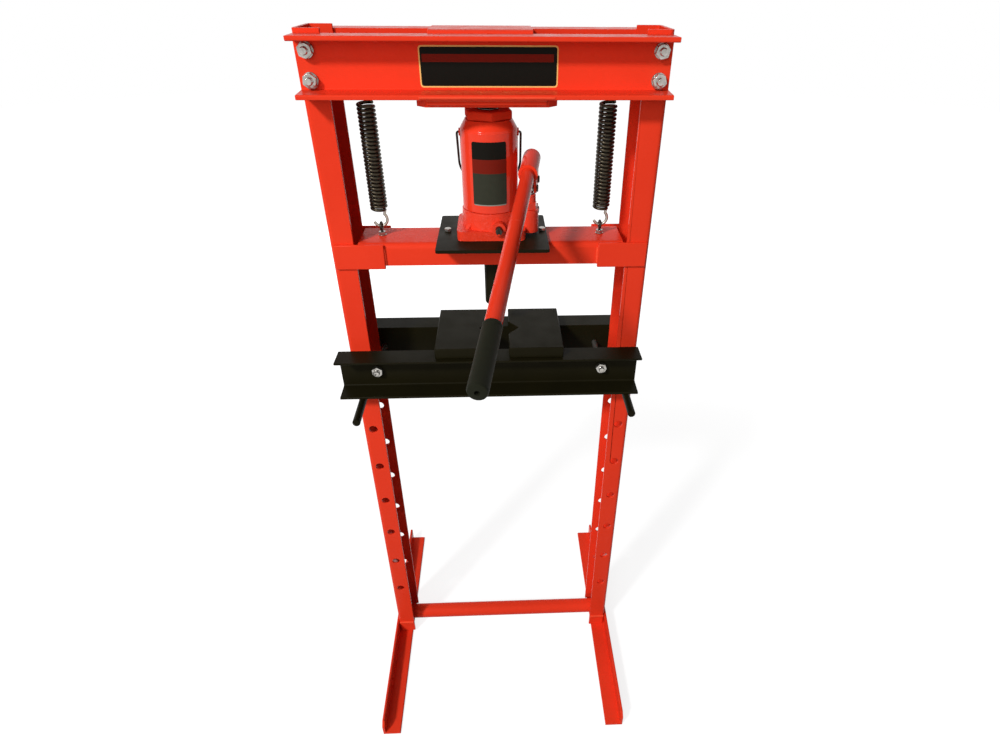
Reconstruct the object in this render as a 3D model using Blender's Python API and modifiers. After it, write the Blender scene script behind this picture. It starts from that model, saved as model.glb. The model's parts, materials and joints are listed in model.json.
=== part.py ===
# A floor-standing hydraulic shop press: an H frame of bent and rolled channel, a bottle jack that
# stands on a sliding crosshead, two return springs and an adjustable bed with arbor plates.
# Metres, +Z up, front of the press at -Y, origin on the floor under the middle of the whole depth,
# from the end of the pump handle to the rear ends of the feet.

import math

import bmesh
import bpy
from mathutils import Matrix, Vector

# Clearances
SEAT_GAP = 0.0003
RUN_GAP = 0.0005
CUT_OVERRUN = 0.004
CURVE_MERGE = 0.000001
SPIN_MERGE = 0.00001

# Uprights, bent channel with the web outward
FRAME_WIDTH = 0.495
FRAME_HEIGHT = 1.250
UPRIGHT_DEPTH = 0.083
UPRIGHT_FLANGE = 0.036
UPRIGHT_WALL = 0.0045
UPRIGHT_BEND_RADIUS = 0.0065
PIN_HOLE_DIAMETER = 0.0160
PIN_HOLE_FIRST_Z = 0.1615
PIN_HOLE_COUNT = 7

# Feet, equal angle with the upright leg outward
FOOT_LEG = 0.036
FOOT_WALL = 0.005
FOOT_TOE_RADIUS = 0.0025
FOOT_FRONT = 0.292
FOOT_REAR = 0.265
FOOT_END_CLIP = 0.010

# Cross tube between the uprights
CROSSBAR_DIAMETER = 0.0335
CROSSBAR_WALL = 0.003
CROSSBAR_Z = 0.0245

# Rolled channel section, shared by the top beam and the bed
CHANNEL_HEIGHT = 0.0715
CHANNEL_FLANGE = 0.0415
CHANNEL_WEB = 0.005
CHANNEL_TIP_RADIUS = 0.0020

# Top beam
BEAM_END_INSET = 0.0015
BEAM_DROP = 0.0055
BEAM_TIP_THICKNESS = 0.0060
BEAM_ROOT_THICKNESS = 0.0075
BEAM_ROOT_FILLET = 0.0015
BEAM_BOLT_DIAMETER = 0.010
BEAM_BOLT_INSET = 0.0165
BEAM_BOLT_SPACING = 0.035
BEAM_BOLT_HOLE_CLEARANCE = 0.0005
HEX_ACROSS_FLATS = 0.0170
HEX_HEIGHT = 0.0085
HEX_HEAD_HEIGHT = 0.0070
WASHER_DIAMETER = 0.0200
WASHER_THICKNESS = 0.0022
BOLT_TAIL = 0.0055

# Centre block and pressure plate of the top beam
BLOCK_LEFT = 0.075
BLOCK_RIGHT = 0.062
BLOCK_WALL = 0.006
BLOCK_BEND_RADIUS = 0.008
BLOCK_RISE = 0.0042
THRUST_PLATE_LENGTH = 0.188
THRUST_PLATE_DEPTH = 0.144
THRUST_PLATE_THICKNESS = 0.010
THRUST_PLATE_CLIP = 0.012
WELD_RADIUS = 0.0034
WELD_SINK = 0.0011

# Crosshead, an inverted channel with guide straps front and rear
CROSSHEAD_HEIGHT = 0.035
CROSSHEAD_WALL = 0.006
CROSSHEAD_BEND_RADIUS = 0.009
CROSSHEAD_SIDE_GAP = 0.0055
STRAP_WIDTH = 0.077
STRAP_INSET = 0.0045
STRAP_HEIGHT = 0.039
STRAP_THICKNESS = 0.005
STRAP_EDGE = 0.001
RAM_DIAMETER = 0.027
RAM_REACH = 0.119
RAM_TIP_CHAMFER = 0.005
RAM_TIP_TURN = math.radians(30.0)
RAM_COLLAR_DIAMETER = 0.038
RAM_COLLAR_HEIGHT = 0.007

# Return springs with their anchors and eye bolts
SPRING_INSET = 0.0745
SPRING_WIRE = 0.0040
SPRING_COIL_DIAMETER = 0.0270
SPRING_TURNS = 28
SPRING_POINTS_PER_TURN = 8
SPRING_TOP_DROP = 0.0150
SPRING_FOOT_RISE = 0.0405
SPRING_HOOK_RADIUS = 0.0105
SPRING_HOOK_POINTS = 12
SPRING_HOOK_START = math.radians(42.0)
SPRING_HOOK_END = math.radians(248.0)
SPRING_NECK_SHARE = 0.8
ANCHOR_DIAMETER = 0.008
ANCHOR_RISE = 0.0015
EYE_WIRE = 0.0045
EYE_SHANK_DIAMETER = 0.0046
EYE_SHANK_SINK = 0.0009
EYE_RADIUS = 0.0055
EYE_NUT_HEIGHT = 0.0045
EYE_NUT_FLATS = 0.0100
EYE_WASHER_DIAMETER = 0.0125
EYE_WASHER_THICKNESS = 0.0012
EYE_SHANK_ABOVE_NUT = 0.0025
EYE_TAIL = 0.004
EYE_RING_POINTS = 16

# Jack base plate on the crosshead
BASE_PLATE_LEFT_MARGIN = 0.031
BASE_PLATE_RIGHT_MARGIN = 0.0345
BASE_PLATE_DEPTH = 0.163
BASE_PLATE_THICKNESS = 0.005
BASE_PLATE_OFFSET_Y = -0.004
BASE_PLATE_CORNER = 0.004
BASE_BOLT_LEFT_GAP = 0.0165
BASE_BOLT_RIGHT_GAP = 0.0275
BASE_BOLT_DIAMETER = 0.006
BASE_BOLT_FLATS = 0.0100
BASE_BOLT_HEAD_HEIGHT = 0.0045
BASE_BOLT_TAIL = 0.003

# Bottle jack, heights above the jack's own foot
JACK_HEIGHT = 0.1898
JACK_BASE_LEFT = 0.0525
JACK_BASE_RIGHT = 0.0530
JACK_BASE_FRONT = 0.0480
JACK_BASE_REAR = 0.0480
JACK_BASE_CORNER = 0.012
JACK_BASE_PLINTH = 0.014
JACK_RING_DIAMETER = 0.0930
JACK_RING_TOP = 0.0390
JACK_RING_DRAFT = 0.0025
CYLINDER_DIAMETER = 0.0850
CYLINDER_SHOULDER_Z = 0.1525
CYLINDER_NECK_Z = 0.1650
CYLINDER_NECK_DIAMETER = 0.0700
CAP_NUT_FLATS = 0.0640
CAP_NUT_TOP = 0.1775
CAP_NUT_CHAMFER = 0.0015
CAP_NUT_TURN = math.radians(8.2)
PISTON_DIAMETER = 0.0300
PISTON_FOOT = 0.0200
PISTON_BORE_FLOOR = 0.0140
PISTON_TOP = 0.1790
SADDLE_DIAMETER = 0.0360
SADDLE_EDGE = 0.0015
FILLER_DIAMETER = 0.010
FILLER_Z = 0.1250
FILLER_HEAD = 0.003
FILLER_DEPTH = 0.004
FILLER_FLANGE_DIAMETER = 0.014
VALVE_X = 0.012
VALVE_Z = 0.0200
VALVE_DIAMETER = 0.0100
VALVE_LENGTH = 0.0220
VALVE_SEAT_DEPTH = 0.0100
VALVE_BOSS_DIAMETER = 0.0200
VALVE_BOSS_LENGTH = 0.0070
VALVE_NOTCH_WIDTH = 0.0030
VALVE_NOTCH_DEPTH = 0.0050
RIB_WIDTH = 0.007
RIB_RUN_X = 0.034

# Carry bail on the cylinder
BAIL_WIRE = 0.0035
BAIL_Z = 0.1465
BAIL_SIDE_X = 0.0468
BAIL_STRAIGHT = 0.052
BAIL_DROP = 0.048
BAIL_LEAN = math.radians(28.0)
BAIL_EAR_DIAMETER = 0.0110
BAIL_EAR_REACH = 0.0014
BAIL_EAR_HOLE_DEPTH = 0.0050
BAIL_POINTS = 14

# Hand pump
PUMP_X = 0.0600
PUMP_Y = -0.0140
PUMP_YAW = math.radians(-8.4)
PUMP_BOSS_DIAMETER = 0.0275
PUMP_BOSS_FOOT = 0.0050
BARREL_HEX_FLATS = 0.0200
BARREL_HEX_TOP = 0.0500
BARREL_DIAMETER = 0.0190
BARREL_TOP = 0.0610
BARREL_FOOT = 0.0120
PLUNGER_DIAMETER = 0.0120
PLUNGER_FOOT = 0.0240
PLUNGER_EYE_DIAMETER = 0.0150
PLUNGER_EYE_WIDTH = 0.0120
PIVOT_Z = 0.0775
PIVOT_SPACING = 0.0220
PIVOT_PIN_DIAMETER = 0.0070
PIVOT_PIN_HEAD = 0.0105
PIVOT_PIN_HEAD_HEIGHT = 0.0020
PLUNGER_EYE_SLACK = 0.0012
ARM_DROP = math.radians(20.0)
CHEEK_THICKNESS = 0.0040
CHEEK_GAP = 0.0006
CHEEK_END_RADIUS = 0.0075
LINK_FOOT_Z = 0.0310
LINK_END_RADIUS = 0.0075
END_ROUND_SHARE = 0.9
EDGE_ROUND_SHARE = 0.3
LINK_WIDTH = 0.0120
LUG_BASE_DEPTH = 0.0200
LUG_BACK_SHIFT = 0.0010
SOCKET_DIAMETER = 0.0270
SOCKET_WALL_BORE = 0.0206
SOCKET_FRONT = 0.0260
SOCKET_REAR = 0.0430
SOCKET_FLOOR = 0.0050
SOCKET_RIM = 0.0025
SOCKET_RIM_PROUD = 0.0010
SOCKET_ROUND = 0.0090
SOCKET_RISE = 0.0280
SOCKET_WEB_SINK = 0.0003
HANDLE_DROP = math.radians(10.1)
HANDLE_DIAMETER = 0.0200
HANDLE_WALL = 0.0016
HANDLE_REACH = 0.4890
GRIP_LENGTH = 0.1030
GRIP_WALL = 0.0008
GRIP_END = 0.0060
GRIP_HOLE_DIAMETER = 0.0060
GRIP_ROUND = 0.0035

# Bed, with lighter flanges than the top beam's
BED_TIP_THICKNESS = 0.0040
BED_ROOT_THICKNESS = 0.0060
BED_ROOT_FILLET = 0.003
BED_OVERHANG = 0.010
BED_OFFSET_X = -0.0087
BED_PIN_DIAMETER = 0.0130
BED_PIN_FRONT = 0.134
BED_PIN_REAR = 0.100
BED_PIN_LEFT_SHIFT = 0.010
BED_PIN_CHAMFER = 0.0015
BED_PIN_INSET = 0.018
TIE_LEFT_GAP = 0.0033
TIE_RIGHT_GAP = 0.0207
TIE_DIAMETER = 0.010
TIE_TAIL = 0.005
WORK_OPENING = 0.0483
ARBOR_WIDTH = 0.0910
ARBOR_DEPTH = 0.1500
ARBOR_THICKNESS = 0.0190
ARBOR_GAP = 0.0330
ARBOR_MIDDLE_X = 0.0083
ARBOR_NOTCH_HALF_WIDTH = 0.0225
ARBOR_NOTCH_DEPTH = 0.0175
ARBOR_EDGE = 0.0012

# Faceting
ROUND_STEPS = 20
SMALL_STEPS = 12
WELD_STEPS = 8
FILLET_STEPS = 3

RED = (0.62, 0.035, 0.018)
BLACK = (0.022, 0.022, 0.020)
STEEL = (0.50, 0.50, 0.50)


def clear_scene():
    for old in list(bpy.data.objects):
        bpy.data.objects.remove(old, do_unlink=True)


def make_collection(name):
    collection = bpy.data.collections.new(name)
    bpy.context.scene.collection.children.link(collection)
    return collection


def make_material(name, colour, roughness, metallic):
    material = bpy.data.materials.new(name)
    material.use_nodes = True
    shader = material.node_tree.nodes["Principled BSDF"]
    shader.inputs["Base Color"].default_value = (colour[0], colour[1], colour[2], 1.0)
    shader.inputs["Roughness"].default_value = roughness
    shader.inputs["Metallic"].default_value = metallic
    material.diffuse_color = (colour[0], colour[1], colour[2], 1.0)
    return material


clear_scene()
PARTS = make_collection("hydraulic_shop_press")
CUTTERS = make_collection("press_cutters")


def painted(name, kind):
    # Each sub-part has its own material: red or black paint, zinc plate, bare steel or rubber.
    looks = {
        "red": (RED, 0.34, 0.0),
        "black": (BLACK, 0.42, 0.0),
        "zinc": (STEEL, 0.32, 0.9),
        "chrome": ((0.60, 0.60, 0.62), 0.15, 1.0),
        "dark": ((0.05, 0.045, 0.045), 0.38, 0.6),
        "rubber": ((0.016, 0.020, 0.018), 0.72, 0.0),
    }
    colour, roughness, metallic = looks[kind]
    return make_material(name + "_" + kind, colour, roughness, metallic)


def empty(name, location, yaw=0.0, parent=None):
    handle = bpy.data.objects.new(name, None)
    handle.location = location
    handle.rotation_euler = (0.0, 0.0, yaw)
    handle.parent = parent
    PARTS.objects.link(handle)
    return handle


def put(name, mesh, kind, location=(0.0, 0.0, 0.0), parent=None, rotation=(0.0, 0.0, 0.0)):
    part = bpy.data.objects.new(name, mesh)
    part.location = location
    part.rotation_euler = rotation
    part.parent = parent
    if kind:
        mesh.materials.clear()
        mesh.materials.append(painted(name, kind))
        mesh.shade_smooth()
        mesh.set_sharp_from_angle(angle=math.radians(32.0))
        PARTS.objects.link(part)
    else:
        part.hide_render = True
        part.display_type = "WIRE"
        CUTTERS.objects.link(part)
    return part


def mesh_from(build, name):
    shape = bmesh.new()
    build(shape)
    bmesh.ops.recalc_face_normals(shape, faces=shape.faces)
    mesh = bpy.data.meshes.new(name)
    shape.to_mesh(mesh)
    shape.free()
    return mesh


def block_mesh(name, size, middle=(0.0, 0.0, 0.0)):
    def build(shape):
        bmesh.ops.create_cube(shape, size=1.0)
        bmesh.ops.scale(shape, vec=size, verts=shape.verts)
        bmesh.ops.translate(shape, vec=middle, verts=shape.verts)
    return mesh_from(build, name)


def rod_mesh(name, radius, start, end, steps=ROUND_STEPS, turn=0.0):
    # A cylinder, or a hexagon where steps is 6, between two points.
    start = Vector(start)
    run = Vector(end) - start

    def build(shape):
        bmesh.ops.create_cone(shape, cap_ends=True, segments=steps, radius1=radius, radius2=radius,
                              depth=run.length)
        spin = Matrix.Rotation(turn, 4, "Z")
        aim = run.to_track_quat("Z", "Y").to_matrix().to_4x4()
        bmesh.ops.transform(shape, matrix=Matrix.Translation(start + run / 2) @ aim @ spin,
                            verts=shape.verts)
    return mesh_from(build, name)


def rounded(corners):
    # Corner points (x, y, radius) with the radius drawn as a short run of points.
    points = []
    count = len(corners)
    for index, (x, y, radius) in enumerate(corners):
        here = Vector((x, y))
        if radius <= 0.0:
            points.append(here)
            continue
        back = (Vector(corners[index - 1][:2]) - here).normalized()
        ahead = (Vector(corners[(index + 1) % count][:2]) - here).normalized()
        half = math.acos(max(-1.0, min(1.0, back.dot(ahead)))) / 2
        reach = radius / math.tan(half)
        middle = here + (back + ahead).normalized() * (radius / math.sin(half))
        first = here + back * reach - middle
        last = here + ahead * reach - middle
        sweep = math.atan2(first.x * last.y - first.y * last.x, first.dot(last))
        for step in range(FILLET_STEPS + 1):
            turn = Matrix.Rotation(sweep * step / FILLET_STEPS, 2)
            points.append(middle + turn @ first)
    return points


def outline_mesh(name, corners, length, frame=None):
    # A flat outline drawn as a filled 2D curve and extruded both ways from its plane.
    curve = bpy.data.curves.new(name + "_outline", "CURVE")
    curve.dimensions = "2D"
    curve.fill_mode = "BOTH"
    curve.extrude = length / 2
    points = rounded(corners)
    spline = curve.splines.new("POLY")
    spline.points.add(len(points) - 1)
    for node, point in zip(spline.points, points):
        node.co = (point.x, point.y, 0.0, 1.0)
    spline.use_cyclic_u = True
    return solid_from_curve(name, curve, frame)


def wire_mesh(name, points, radius, sides=2, frame=None, closed=False):
    curve = bpy.data.curves.new(name + "_wire", "CURVE")
    curve.dimensions = "3D"
    curve.bevel_depth = radius
    curve.bevel_resolution = sides
    curve.use_fill_caps = True
    spline = curve.splines.new("POLY")
    spline.points.add(len(points) - 1)
    for node, point in zip(spline.points, points):
        node.co = (point[0], point[1], point[2], 1.0)
    spline.use_cyclic_u = closed
    return solid_from_curve(name, curve, frame)


def solid_from_curve(name, curve, frame):
    holder = bpy.data.objects.new(name + "_curve", curve)
    PARTS.objects.link(holder)
    if frame is not None:
        holder.matrix_world = frame
    bpy.context.view_layer.update()
    graph = bpy.context.evaluated_depsgraph_get()
    mesh = bpy.data.meshes.new_from_object(holder.evaluated_get(graph))
    mesh.transform(holder.matrix_world)
    shape = bmesh.new()
    shape.from_mesh(mesh)
    bmesh.ops.remove_doubles(shape, verts=shape.verts, dist=CURVE_MERGE)
    bmesh.ops.recalc_face_normals(shape, faces=shape.faces)
    shape.to_mesh(mesh)
    shape.free()
    mesh.name = name
    bpy.data.objects.remove(holder, do_unlink=True)
    return mesh


def turned(name, profile, kind, location=(0.0, 0.0, 0.0), parent=None, rotation=(0.0, 0.0, 0.0),
           steps=ROUND_STEPS, closed=False):
    # A profile of (radius, height) points at +X, listed from the top down its outer side, and spun.
    shape = bmesh.new()
    rim = [shape.verts.new((radius, 0.0, height)) for radius, height in profile]
    for first, second in zip(rim, rim[1:]):
        shape.edges.new((first, second))
    if closed:
        shape.edges.new((rim[-1], rim[0]))
    mesh = bpy.data.meshes.new(name)
    shape.to_mesh(mesh)
    shape.free()
    part = put(name, mesh, kind, location, parent, rotation)
    spin = part.modifiers.new("Spin", "SCREW")
    spin.angle = math.tau
    spin.steps = steps
    spin.render_steps = steps
    spin.use_merge_vertices = True
    spin.merge_threshold = SPIN_MERGE
    spin.use_smooth_shade = True
    return part


def settle(part, kind=None):
    # The evaluated mesh of a part, so that copies can share it or a Boolean can follow.
    bpy.context.view_layer.update()
    graph = bpy.context.evaluated_depsgraph_get()
    mesh = bpy.data.meshes.new_from_object(part.evaluated_get(graph))
    part.modifiers.clear()
    old = part.data
    part.data = mesh
    mesh.name = part.name
    if old.users == 0:
        bpy.data.meshes.remove(old)
    return part


def combine(part, other, operation):
    step = part.modifiers.new(operation.title(), "BOOLEAN")
    step.operation = operation
    step.object = other
    step.solver = "EXACT"
    return step


def cut(part, mesh, location=(0.0, 0.0, 0.0), rotation=(0.0, 0.0, 0.0)):
    cutter = put(mesh.name, mesh, None, location, part.parent, rotation)
    combine(part, cutter, "DIFFERENCE")
    return cutter


def add(part, mesh, location=(0.0, 0.0, 0.0), rotation=(0.0, 0.0, 0.0)):
    lump = put(mesh.name, mesh, None, location, part.parent, rotation)
    combine(part, lump, "UNION")
    return lump


def soften(part, width, segments=2, angle=30.0):
    edge = part.modifiers.new("Edge", "BEVEL")
    edge.width = width
    edge.segments = segments
    edge.limit_method = "ANGLE"
    edge.angle_limit = math.radians(angle)
    return edge


# Frames that send a flat outline (drawn in X and Y) to another plane, its extrusion along the third
ALONG_X = Matrix(((0, 0, 1, 0), (1, 0, 0, 0), (0, 1, 0, 0), (0, 0, 0, 1)))
ALONG_Y = Matrix(((1, 0, 0, 0), (0, 0, -1, 0), (0, 1, 0, 0), (0, 0, 0, 1)))


def pump_matrix():
    return Matrix.Translation((PUMP_X, PUMP_Y, 0.0)) @ Matrix.Rotation(PUMP_YAW, 4, "Z")


def pump_point(point):
    return pump_matrix() @ Vector(point)


def handle_end_y():
    # The front end of the pump handle, counted from the middle of the uprights.
    reach = (PIVOT_SPACING + HANDLE_REACH) * math.cos(HANDLE_DROP) + SOCKET_RISE * math.sin(HANDLE_DROP)
    return pump_point((0.0, PIVOT_SPACING - reach, 0.0)).y


# The frame stands where the middle of the whole depth, handle included, comes to the origin.
ROOT = empty("press_frame", (0.0, -(handle_end_y() + FOOT_REAR) / 2, 0.0))
SIDES = (("left", -1.0), ("right", 1.0))
FACES = (("front", -1.0), ("rear", 1.0))

# Sizes that several pieces share
HALF_WIDTH = FRAME_WIDTH / 2
HALF_DEPTH = UPRIGHT_DEPTH / 2
BEAM_LENGTH = FRAME_WIDTH - BEAM_END_INSET * 2
BED_LENGTH = FRAME_WIDTH + BED_OVERHANG * 2
BEAM_BOLT_X = HALF_WIDTH - BEAM_BOLT_INSET
BED_PIN_X = HALF_WIDTH - BED_PIN_INSET
SPRING_X = HALF_WIDTH - SPRING_INSET
STRAP_OUTER_X = HALF_WIDTH - STRAP_INSET
STRAP_INNER_X = STRAP_OUTER_X - STRAP_WIDTH
UPRIGHT_FOOT_Z = FOOT_WALL + SEAT_GAP
BEAM_TOP = FRAME_HEIGHT - BEAM_DROP
BEAM_BOTTOM = BEAM_TOP - CHANNEL_HEIGHT
BEAM_MIDDLE_Z = (BEAM_TOP + BEAM_BOTTOM) / 2
CHANNEL_BACK_Y = HALF_DEPTH + SEAT_GAP
THRUST_PLATE_TOP = BEAM_BOTTOM - SEAT_GAP
THRUST_PLATE_BOTTOM = THRUST_PLATE_TOP - THRUST_PLATE_THICKNESS
# The jack stands between the thrust plate and its seat on the crosshead.
JACK_Z = THRUST_PLATE_BOTTOM - SEAT_GAP - JACK_HEIGHT
BASE_PLATE_TOP = JACK_Z - SEAT_GAP
BASE_PLATE_BOTTOM = BASE_PLATE_TOP - BASE_PLATE_THICKNESS
CROSSHEAD_TOP = BASE_PLATE_BOTTOM - SEAT_GAP
RAM_TIP_Z = CROSSHEAD_TOP - RAM_REACH
ANCHOR_Z = BEAM_BOTTOM + ANCHOR_RISE
SPRING_TOP_Z = BEAM_BOTTOM - SPRING_TOP_DROP
SPRING_FOOT_Z = CROSSHEAD_TOP + SPRING_FOOT_RISE
# The bed rests in the uppermost pin holes, one work opening below the ram.
BED_TOP = RAM_TIP_Z - WORK_OPENING - ARBOR_THICKNESS - SEAT_GAP
BED_BOTTOM = BED_TOP - CHANNEL_HEIGHT
BED_MIDDLE_Z = (BED_BOTTOM + BED_TOP) / 2
BED_PIN_Z = BED_BOTTOM - SEAT_GAP - BED_PIN_DIAMETER / 2
PIN_HOLE_LAST_Z = BED_PIN_Z + (PIN_HOLE_DIAMETER - BED_PIN_DIAMETER) / 2 - SEAT_GAP
PIN_HOLE_PITCH = (PIN_HOLE_LAST_Z - PIN_HOLE_FIRST_Z) / (PIN_HOLE_COUNT - 1)
# The bed's ties pass just inside the uprights.
TIE_INNER_X = HALF_WIDTH - UPRIGHT_FLANGE - TIE_DIAMETER / 2
TIE_PLACES = (("left", TIE_LEFT_GAP - TIE_INNER_X), ("right", TIE_INNER_X - TIE_RIGHT_GAP))
BEAM_BOLT_HEIGHTS = (BEAM_MIDDLE_Z + BEAM_BOLT_SPACING / 2, BEAM_MIDDLE_Z - BEAM_BOLT_SPACING / 2)


def upright_corners(side):
    outer = side * HALF_WIDTH
    inner = side * (HALF_WIDTH - UPRIGHT_WALL)
    lip = side * (HALF_WIDTH - UPRIGHT_FLANGE)
    bend = UPRIGHT_BEND_RADIUS
    inside = UPRIGHT_BEND_RADIUS - UPRIGHT_WALL
    depth = HALF_DEPTH
    wall = HALF_DEPTH - UPRIGHT_WALL
    corners = [(outer, -depth, bend), (lip, -depth, 0), (lip, -wall, 0), (inner, -wall, inside),
               (inner, wall, inside), (lip, wall, 0), (lip, depth, 0), (outer, depth, bend)]
    return corners


def build_uprights():
    length = FRAME_HEIGHT - UPRIGHT_FOOT_Z
    middle = (FRAME_HEIGHT + UPRIGHT_FOOT_Z) / 2
    reach = HALF_DEPTH + CUT_OVERRUN
    for name, side in SIDES:
        mesh = outline_mesh(name + "_upright", upright_corners(side), length)
        part = put(name + "_upright", mesh, "red", (0.0, 0.0, middle), ROOT)
        for count in range(PIN_HOLE_COUNT):
            height = PIN_HOLE_FIRST_Z + PIN_HOLE_PITCH * count
            cut(part, rod_mesh(name + "_pin_hole", PIN_HOLE_DIAMETER / 2,
                               (side * BED_PIN_X, -reach, height), (side * BED_PIN_X, reach, height),
                               SMALL_STEPS))
        for height in BEAM_BOLT_HEIGHTS:
            radius = BEAM_BOLT_DIAMETER / 2 + BEAM_BOLT_HOLE_CLEARANCE
            cut(part, rod_mesh(name + "_beam_bolt_hole", radius,
                               (side * BEAM_BOLT_X, -reach, height), (side * BEAM_BOLT_X, reach, height),
                               SMALL_STEPS))


def build_feet():
    outer = HALF_WIDTH + SEAT_GAP + FOOT_WALL
    length = FOOT_FRONT + FOOT_REAR
    for name, side in SIDES:
        corners = [(side * outer, 0.0, 0), (side * (outer - FOOT_LEG), 0.0, 0),
                   (side * (outer - FOOT_LEG), FOOT_WALL, FOOT_TOE_RADIUS),
                   (side * (outer - FOOT_WALL), FOOT_WALL, 0),
                   (side * (outer - FOOT_WALL), FOOT_LEG, FOOT_TOE_RADIUS),
                   (side * outer, FOOT_LEG, 0)]
        mesh = outline_mesh(name + "_foot", corners, length, ALONG_Y)
        middle = (FOOT_REAR - FOOT_FRONT) / 2
        part = put(name + "_foot", mesh, "red", (0.0, middle, 0.0), ROOT)
        # The standing leg's front end is clipped at its top corner.
        clip = [(0.0, FOOT_LEG - FOOT_END_CLIP, 0), (FOOT_END_CLIP, FOOT_LEG, 0),
                (FOOT_END_CLIP, FOOT_LEG + CUT_OVERRUN, 0), (-CUT_OVERRUN, FOOT_LEG + CUT_OVERRUN, 0),
                (-CUT_OVERRUN, FOOT_LEG - FOOT_END_CLIP, 0)]
        wedge = outline_mesh(name + "_foot_clip", clip, FOOT_WALL + CUT_OVERRUN * 2, ALONG_X)
        cut(part, wedge, (side * (outer - FOOT_WALL / 2), -FOOT_FRONT, 0.0))


def build_crossbar():
    reach = HALF_WIDTH - UPRIGHT_WALL - SEAT_GAP
    outer = CROSSBAR_DIAMETER / 2
    inner = outer - CROSSBAR_WALL
    turned("crossbar", [(inner, reach), (outer, reach), (outer, -reach), (inner, -reach)], "red",
           (0.0, 0.0, CROSSBAR_Z), ROOT, (0.0, math.radians(90.0), 0.0), closed=True)


def channel_corners(face, tip_thickness, root_thickness, fillet):
    # Rolled channel with its back toward the middle and its tapered flanges outward.
    back = 0.0
    tip = face * CHANNEL_FLANGE
    web = face * CHANNEL_WEB
    half = CHANNEL_HEIGHT / 2
    root = half - root_thickness
    lip = half - tip_thickness
    return [(back, -half, 0), (tip, -half, 0), (tip, -lip, CHANNEL_TIP_RADIUS),
            (web, -root, fillet), (web, root, fillet),
            (tip, lip, CHANNEL_TIP_RADIUS), (tip, half, 0), (back, half, 0)]


def build_top_beam():
    for name, face in FACES:
        corners = channel_corners(face, BEAM_TIP_THICKNESS, BEAM_ROOT_THICKNESS, BEAM_ROOT_FILLET)
        mesh = outline_mesh("top_beam_" + name, corners, BEAM_LENGTH, ALONG_X)
        place = (0.0, face * CHANNEL_BACK_Y, BEAM_MIDDLE_Z)
        part = put("top_beam_" + name, mesh, "red", place, ROOT)
        radius = BEAM_BOLT_DIAMETER / 2 + BEAM_BOLT_HOLE_CLEARANCE
        for side_name, side in SIDES:
            for height in BEAM_BOLT_HEIGHTS:
                inside = HALF_DEPTH - CUT_OVERRUN
                outside = CHANNEL_BACK_Y + CHANNEL_WEB + CUT_OVERRUN
                cut(part, rod_mesh(side_name + "_beam_hole", radius,
                                   (side * BEAM_BOLT_X, face * inside, height),
                                   (side * BEAM_BOLT_X, face * outside, height), SMALL_STEPS))
    length = BLOCK_LEFT + BLOCK_RIGHT
    half = HALF_DEPTH
    top = BEAM_TOP + BLOCK_RISE
    foot = BEAM_BOTTOM
    inside = BLOCK_BEND_RADIUS - BLOCK_WALL
    corners = [(-half, foot, 0), (-half, top, BLOCK_BEND_RADIUS), (half, top, BLOCK_BEND_RADIUS),
               (half, foot, 0), (half - BLOCK_WALL, foot, 0), (half - BLOCK_WALL, top - BLOCK_WALL, inside),
               (-half + BLOCK_WALL, top - BLOCK_WALL, inside), (-half + BLOCK_WALL, foot, 0)]
    mesh = outline_mesh("beam_centre_block", corners, length, ALONG_X)
    put("beam_centre_block", mesh, "red", ((BLOCK_RIGHT - BLOCK_LEFT) / 2, 0.0, 0.0), ROOT)
    half_x = THRUST_PLATE_LENGTH / 2
    half_y = THRUST_PLATE_DEPTH / 2
    clip = THRUST_PLATE_CLIP
    corners = [(-half_x, -half_y + clip, 0), (-half_x + clip, -half_y, 0), (half_x - clip, -half_y, 0),
               (half_x, -half_y + clip, 0), (half_x, half_y - clip, 0), (half_x - clip, half_y, 0),
               (-half_x + clip, half_y, 0), (-half_x, half_y - clip, 0)]
    mesh = outline_mesh("thrust_plate", corners, THRUST_PLATE_THICKNESS)
    middle = THRUST_PLATE_TOP - THRUST_PLATE_THICKNESS / 2
    part = put("thrust_plate", mesh, "red", (0.0, 0.0, middle), ROOT)
    # A weld bead runs in the corner between the plate's long edges and the flanges above.
    for name, face in FACES:
        reach = half_x - clip - WELD_RADIUS
        height = THRUST_PLATE_TOP - WELD_RADIUS - WELD_SINK
        line = face * (half_y + WELD_SINK)
        add(part, rod_mesh(name + "_plate_weld", WELD_RADIUS, (-reach, line, height), (reach, line, height),
                           WELD_STEPS))


def hex_bolt_mesh(name, diameter, flats, head, grip, tail):
    # Head, shank, washer and nut on one axis along +Z: the head's bearing face is at zero.
    washer = WASHER_THICKNESS
    end = grip + washer + HEX_HEIGHT + tail
    nut = grip + washer
    radius = flats / math.sqrt(3.0)
    body = put(name + "_body", rod_mesh(name + "_shank", diameter / 2, (0.0, 0.0, -head / 2),
                                        (0.0, 0.0, end), SMALL_STEPS), None)
    add(body, rod_mesh(name + "_head", radius, (0.0, 0.0, -head), (0.0, 0.0, 0.0), 6))
    add(body, rod_mesh(name + "_washer", WASHER_DIAMETER / 2, (0.0, 0.0, grip),
                       (0.0, 0.0, grip + washer + SEAT_GAP), SMALL_STEPS))
    add(body, rod_mesh(name + "_nut", radius, (0.0, 0.0, nut), (0.0, 0.0, nut + HEX_HEIGHT), 6))
    settle(body)
    mesh = body.data
    bpy.data.objects.remove(body, do_unlink=True)
    return mesh


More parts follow.
